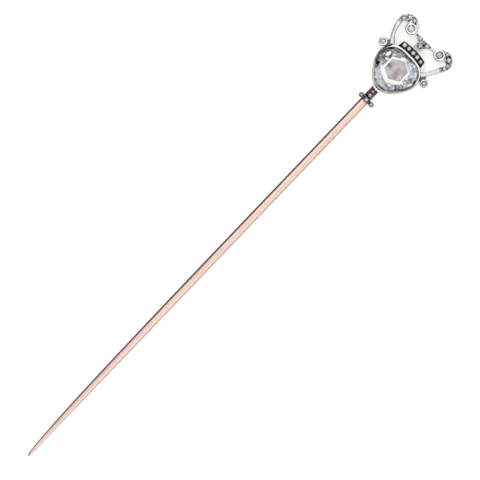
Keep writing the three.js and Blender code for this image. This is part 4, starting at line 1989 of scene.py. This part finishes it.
@dataclass
class Handle(Maker):
    """One handle: its wire, its jewelled scroll, the collet in the scroll's eye, and the knop below."""

    name: str
    side: int
    ring: Point
    arc: tuple[float, float, float]
    start: float
    end: float
    straight: float
    wire: list[Point]
    knop: tuple[float, float, float]
    bowl: Bowl
    stones: Stones
    gold: bpy.types.Material
    silver: bpy.types.Material
    wire_silver: bpy.types.Material
    scroll_finish: Silver
    stone_lights: tuple[float, ...]
    collet_lights: dict[str, float]
    ring_radius: float = 1.04
    ring_stone: float = 0.7
    ring_heights: Point = (0.95, 2.2)
    knop_stone_share: float = 0.62
    knop_heights: Point = (0.75, 2.05)
    wire_half: float = 0.4
    wire_swell: float = 0.05
    wire_heights: Point = (1.0, 1.86)
    arc_steps: int = 40
    width_start: float = 0.9
    width_full: float = 1.6
    widen_from: float = -5.0
    widen_to: float = 45.0

    def arc_point(self, angle: float, radius: float) -> Point:
        """A point of the scroll's arc, at an angle in degrees and a distance from its centre."""
        a = math.radians(angle)
        return (self.side * (self.arc[0] + radius * math.cos(a)), self.arc[1] + radius * math.sin(a))

    def arc_width(self, angle: float) -> float:
        """The scroll's width at an angle of its arc.

        Args:
            angle: The angle, in degrees.

        Returns:
            The width.
        """
        share = (angle - self.widen_from) / (self.widen_to - self.widen_from)
        share = max(0.0, min(1.0, share))
        return self.width_start + (self.width_full - self.width_start) * share**2 * (3 - 2 * share)

    def straight_point(self, radius: float) -> Point:
        """The end of the straight stretch that runs on from the arc's start.

        Args:
            radius: How far it lies from the arc's centre.

        Returns:
            The point.
        """
        a = math.radians(self.start)
        x, y = self.arc_point(self.start, radius)
        return (x + self.side * self.straight * math.sin(a), y - self.straight * math.cos(a))

    def scroll_outline(self) -> list[Point]:
        """The scroll's outline.

        Returns:
            The outline, anticlockwise.
        """
        steps = self.arc_steps
        angles = [self.start + (self.end - self.start) * i / steps for i in range(steps + 1)]
        radius = self.arc[2]
        outer = [self.arc_point(a, radius) for a in angles]
        inner = [self.arc_point(a, radius - self.arc_width(a)) for a in reversed(angles)]
        if self.straight:
            outer = [self.straight_point(radius), *outer]
            inner = [*inner, self.straight_point(radius - self.width_start)]
        return anticlockwise([*outer, *inner])

    def build_collet(
        self, part: str, place: tuple[float, float, float], stone_radius: float, heights: Point
    ) -> None:
        """Models and dresses a round collet with its stone.

        Args:
            part: "ring" or "knop".
            place: Its x, as if it stood on the right, its y and its radius.
            stone_radius: The radius of the stone's node.
            heights: Its bottom and its top.
        """
        x, y, radius = place
        RoundCollet(
            name=f"{self.name}_{part}",
            x=self.side * x,
            y=y,
            radius=radius,
            stone_radius=stone_radius,
            low=heights[0],
            high=heights[1],
            stones=self.stones,
            finish=self.silver,
            light=self.collet_lights[part],
        ).build()

    def build_wire(self) -> None:
        """Models and dresses the plain wire: rounded, a little wider where it meets the bowl."""
        line = spline([(self.side * x, y) for x, y in self.wire], 8)
        outline = ribbon(line, lambda t: self.wire_half + self.wire_swell * math.cos(2 * math.pi * t))
        rounding = [(0.15, 0.0), (0.07, 0.03), (0.02, 0.09), (0.0, 0.18)]
        low, high = self.wire_heights
        below = [(inset, low + rise) for inset, rise in rounding]
        above = [(inset, high - fall) for inset, fall in reversed(rounding)]
        wire = Bench.moulded(f"{self.name}_bent_wire", outline, [*below, *above])
        Bench.smooth(wire, 50)
        self.dress(wire, self.wire_silver, Slot.SILVER, f"{self.name}_wire")

    def build_shoulder(self, dark: bpy.types.Material) -> None:
        """Models and dresses the dark block between the bowl, the wire and the knop.

        Args:
            dark: The block's finish.
        """
        knop_x, knop_y, _ = self.knop
        wall = []
        for angle in range(40, 20, -4):
            a = math.radians(angle)
            reach = self.bowl.radius_at(a) - 0.1
            wall.append((self.side * reach * math.cos(a), reach * math.sin(a)))
        outline = anticlockwise(
            [
                (self.side * knop_x, knop_y),
                (self.side * (knop_x - 0.42), knop_y + 0.84),
                (self.side * 4.3, 3.4),
                *wall,
            ]
        )
        profile = [(0.0, 0.85), (0.0, 1.6), (0.03, 1.69), (0.1, 1.75)]
        block = Bench.moulded(f"{self.name}_corner", outline, profile)
        Bench.smooth(block, 40)
        self.dress(block, dark, Slot.DARK_SILVER, f"{self.name}_shoulder")

    def build(self, dark: bpy.types.Material) -> None:
        """Models and dresses the handle.

        Args:
            dark: The finish of the dark block.
        """
        outline = self.scroll_outline()
        scroll = f"{self.name}_scroll"
        Backing(f"{scroll}_gold", outline, *GOLD_LAYER, f"{scroll}_backing", self.gold).build()
        JewelledPlate(
            name=f"{scroll}_front",
            outline=outline,
            low=SILVER_LAYER[0],
            high=SILVER_LAYER[1],
            node=scroll,
            stone_nodes=[f"{scroll}_stone_{i}" for i in range(1, len(self.stone_lights) + 1)],
            stones=self.stones,
            finish=self.scroll_finish,
            slot=Slot.SILVER,
            lights=self.stone_lights,
        ).build()
        self.build_collet("ring", (*self.ring, self.ring_radius), self.ring_stone, self.ring_heights)
        knop_stone = self.knop_stone_share * self.knop[2]
        self.build_collet("knop", self.knop, knop_stone, self.knop_heights)
        self.build_wire()
        self.build_shoulder(dark)


# ---- The studio ----


@dataclass
class Studio:
    """The pale floor, the soft lights and the camera."""

    look_at: tuple[float, float] = (1.0326, -39.087)
    view_width: float = 82.05
    turn: float = 46.35
    lens: float = 600.0
    sensor: float = 36.0
    floor_size: float = 3.0
    floor_drop: float = 0.00002
    floor_colour: float = 0.6
    floor_glow: float = 0.53
    sky_stops: tuple[tuple[float, float], ...] = (
        (0.0, 0.8),
        (0.47, 0.5),
        (0.5, 0.12),
        (0.62, 0.2),
        (0.75, 0.55),
        (0.9, 0.8),
        (1.0, 0.9),
    )

    def floor(self) -> None:
        """A pale floor under the pin."""
        Bench.clear()
        bpy.ops.mesh.primitive_plane_add(size=self.floor_size, location=(0, 0, -self.floor_drop))
        floor = bpy.context.active_object
        floor.name = "floor"
        shader = Shader("pale_floor")
        paper = shader.node("ShaderNodeBsdfDiffuse", None, {"Color": (self.floor_colour,) * 3}).outputs[0]
        inputs = {"Color": (1, 1, 1), "Strength": self.floor_glow}
        glow = shader.node("ShaderNodeEmission", None, inputs).outputs[0]
        lit = shader.node("ShaderNodeAddShader", None, {0: paper, 1: glow}).outputs[0]
        shader.node("ShaderNodeOutputMaterial", None, {"Surface": lit})
        floor.data.materials.append(shader.material)

    def sky(self) -> None:
        """Soft light from all round, brightest overhead and dim near the horizon."""
        world = bpy.data.worlds.new("studio")
        bpy.context.scene.world = world
        tree = Tree(world)
        direction = tree.node("ShaderNodeTexCoord").outputs["Generated"]
        split = tree.node("ShaderNodeSeparateXYZ", None, {"Vector": direction})
        height = tree.node("ShaderNodeMapRange", None, {"Value": split.outputs["Z"], "From Min": -1.0})
        stops = [(place, (v, v, v)) for place, v in self.sky_stops]
        ramp = tree.node("ShaderNodeValToRGB", {"ramp": stops}, {"Fac": height.outputs[0]})
        sky = tree.node("ShaderNodeBackground", None, {"Color": ramp.outputs["Color"], "Strength": 1.0})
        tree.node("ShaderNodeOutputWorld", None, {"Surface": sky.outputs[0]})

    @staticmethod
    def lamp(name: str, place: Sequence[float], target: Sequence[float], size: float, power: float) -> None:
        """A square soft light.

        Args:
            name: Its name.
            place: Where it stands, in metres.
            target: What it faces.
            size: Its side, in metres.
            power: Its power, in watts.
        """
        data = bpy.data.lights.new(name, "AREA")
        data.size = size
        data.energy = power
        lamp = bpy.data.objects.new(name, data)
        bpy.context.scene.collection.objects.link(lamp)
        lamp.location = place
        aim = Vector(target) - Vector(place)
        lamp.rotation_mode = "QUATERNION"
        lamp.rotation_quaternion = aim.to_track_quat("-Z", "Y")

    def lights(self) -> None:
        """A key light on the head's upper left, a fill on its right, and one overhead."""
        middle = (0.0, -0.03, 0.0)
        self.lamp("key", (-0.38, 0.24, 0.44), middle, 0.5, 1.8)
        self.lamp("fill", (0.42, -0.12, 0.32), middle, 0.4, 0.75)
        self.lamp("overhead", (0.02, -0.03, 0.6), middle, 0.4, 0.6)

    def camera(self) -> None:
        """A long lens straight above the pin, turned so that the head points up and to the right."""
        data = bpy.data.cameras.new("camera")
        data.lens = self.lens
        data.sensor_width = self.sensor
        camera = bpy.data.objects.new("camera", data)
        bpy.context.scene.collection.objects.link(camera)
        distance = self.view_width * self.lens / self.sensor
        x, y = self.look_at
        camera.location = (x * MM, y * MM, (distance + 1.0) * MM)
        camera.rotation_euler = (0.0, 0.0, math.radians(90 - self.turn))
        data.clip_start, data.clip_end = 0.01, 10.0
        bpy.context.scene.camera = camera

    def build(self) -> None:
        """Sets the studio up."""
        self.floor()
        self.sky()
        self.lights()
        self.camera()
        view = bpy.context.scene.view_settings
        view.view_transform = "Standard"
        view.look = "None"


def handles(bowl: Bowl, stones: Stones, gold: bpy.types.Material) -> list[Handle]:
    """The two handles. Each is given as if it stood on the right.

    Args:
        bowl: The bowl they stand on.
        stones: The stones they carry.
        gold: The finish of their gold layers.

    Returns:
        The left handle and the right one.
    """
    # On the collets and knops the walls under low take the dark ground: partly oxide, partly painted shade
    # that draws a dark outline round each.
    silver = Silver(
        "tube_silver",
        low=1.72,
        high=1.88,
        bright=(0.70, 0.71, 0.675),
        ground=(0.10, 0.10, 0.095),
        shades=(
            Spot(-5.4, 2.1, 0.55, 0.75, 0.35, 0, 0.4),
            Spot(5.35, 1.85, 0.6, 0.6, 0.35, 0, 0.4),
            Spot(-3.8, 7.1, 0.4, 0.6, 0.35, 0, 0.4),
        ),
        stain=0.25,
    ).build()
    wire_silver = Silver(
        "wire_silver",
        low=1.66,
        high=1.8,
        bright=(0.44, 0.445, 0.43),
        ground=(0.10, 0.10, 0.10),
        stain=0.3,
    ).build()
    shared = {"bowl": bowl, "stones": stones, "gold": gold, "silver": silver, "wire_silver": wire_silver}
    left = Handle(
        name="left",
        side=-1,
        ring=(3.19, 7.12),
        arc=(4.06, 7.1, 1.98),
        start=-19,
        end=168,
        straight=0.0,
        wire=[(5.6, 6.7), (5.14, 5.08), (4.44, 3.86), (3.6, 2.95)],
        knop=(5.03, 2.21, 0.8),
        scroll_finish=Silver(
            "left_scroll_silver",
            low=1.84,
            high=1.92,
            ground=(0.42, 0.42, 0.40),
            stain=0.25,
            shades=(Spot(-4.9, 7.6, 0.55, 0.5, 0.6, 0, 0.4),),
            # Painted shadow between the stones and the parts.
            painted_shadows=(
                Spot(-4.6, 8.12, 0.2, 0.17, 0, 20),
                Spot(-3.55, 8.85, 0.18, 0.22, 0),
                Spot(-3.18, 7.9, 0.26, 0.2, 0, 20),
                Spot(-4.97, 7.5, 0.17, 0.2, 0),
                Spot(-3.96, 7.86, 0.24, 0.17, 0, -20),
                Spot(-2.72, 8.3, 0.2, 0.2, 0),
                Spot(-4.2, 9.1, 0.2, 0.15, 0),
            ),
        ),
        stone_lights=(0.55, 0.6, 0.6, 0.62),
        collet_lights={"ring": 0.7, "knop": 0.7},
        **shared,
    )
    right = Handle(
        name="right",
        side=1,
        ring=(3.4, 7.41),
        arc=(4.4, 7.0, 1.88),
        start=-30,
        end=160,
        straight=0.86,
        wire=[(5.36, 5.9), (4.7, 4.46), (4.14, 3.5), (3.5, 2.7)],
        knop=(5.02, 2.15, 0.74),
        scroll_finish=Silver(
            "right_scroll_silver",
            low=1.85,
            high=1.94,
            ground=(0.32, 0.31, 0.34),
            stain=0.45,
            shades=(Spot(5.95, 7.35, 0.5, 0.5, 0.4, 0, 0.4), Spot(5.9, 5.7, 0.55, 0.45, 0.4, 0, 0.4)),
            # Painted shadow between the stones and the parts.
            painted_shadows=(
                Spot(5.35, 7.95, 0.5, 0.5, 0, 40),
                Spot(5.85, 7.15, 0.3, 0.55, 0),
                Spot(6.45, 6.7, 0.22, 0.6, 0),
                Spot(5.9, 5.9, 0.5, 0.22, 0, 20),
                Spot(6.35, 6.1, 0.22, 0.3, 0),
            ),
        ),
        stone_lights=(0.5, 0.65, 0.45, 0.62, 0.5),
        collet_lights={"ring": 0.45, "knop": 0.55},
        **shared,
    )
    return [left, right]


def main() -> None:
    """Builds every sub-assembly in order."""
    logging.basicConfig(level=logging.INFO, format="%(message)s")
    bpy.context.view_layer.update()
    gold = Gold().build()
    silver = Silver("plain_silver", low=0.7, high=1.15, stain=0.3).build()
    dark = Silver("corner_silver", low=1.68, high=1.98, ground=(0.016, 0.016, 0.018), stain=0.5).build()
    stones = Stones()
    bowl = Bowl()
    Stem().build()
    bowl.build()
    Lip(bowl, stones, gold).build()
    Foot(stones, gold, silver).build()
    Crest(stones, gold).build()
    for handle in handles(bowl, stones, gold):
        handle.build(dark)
    stones.put_away()
    Studio().build()
    Bench.clear()


if __name__ == "__main__":
    main()
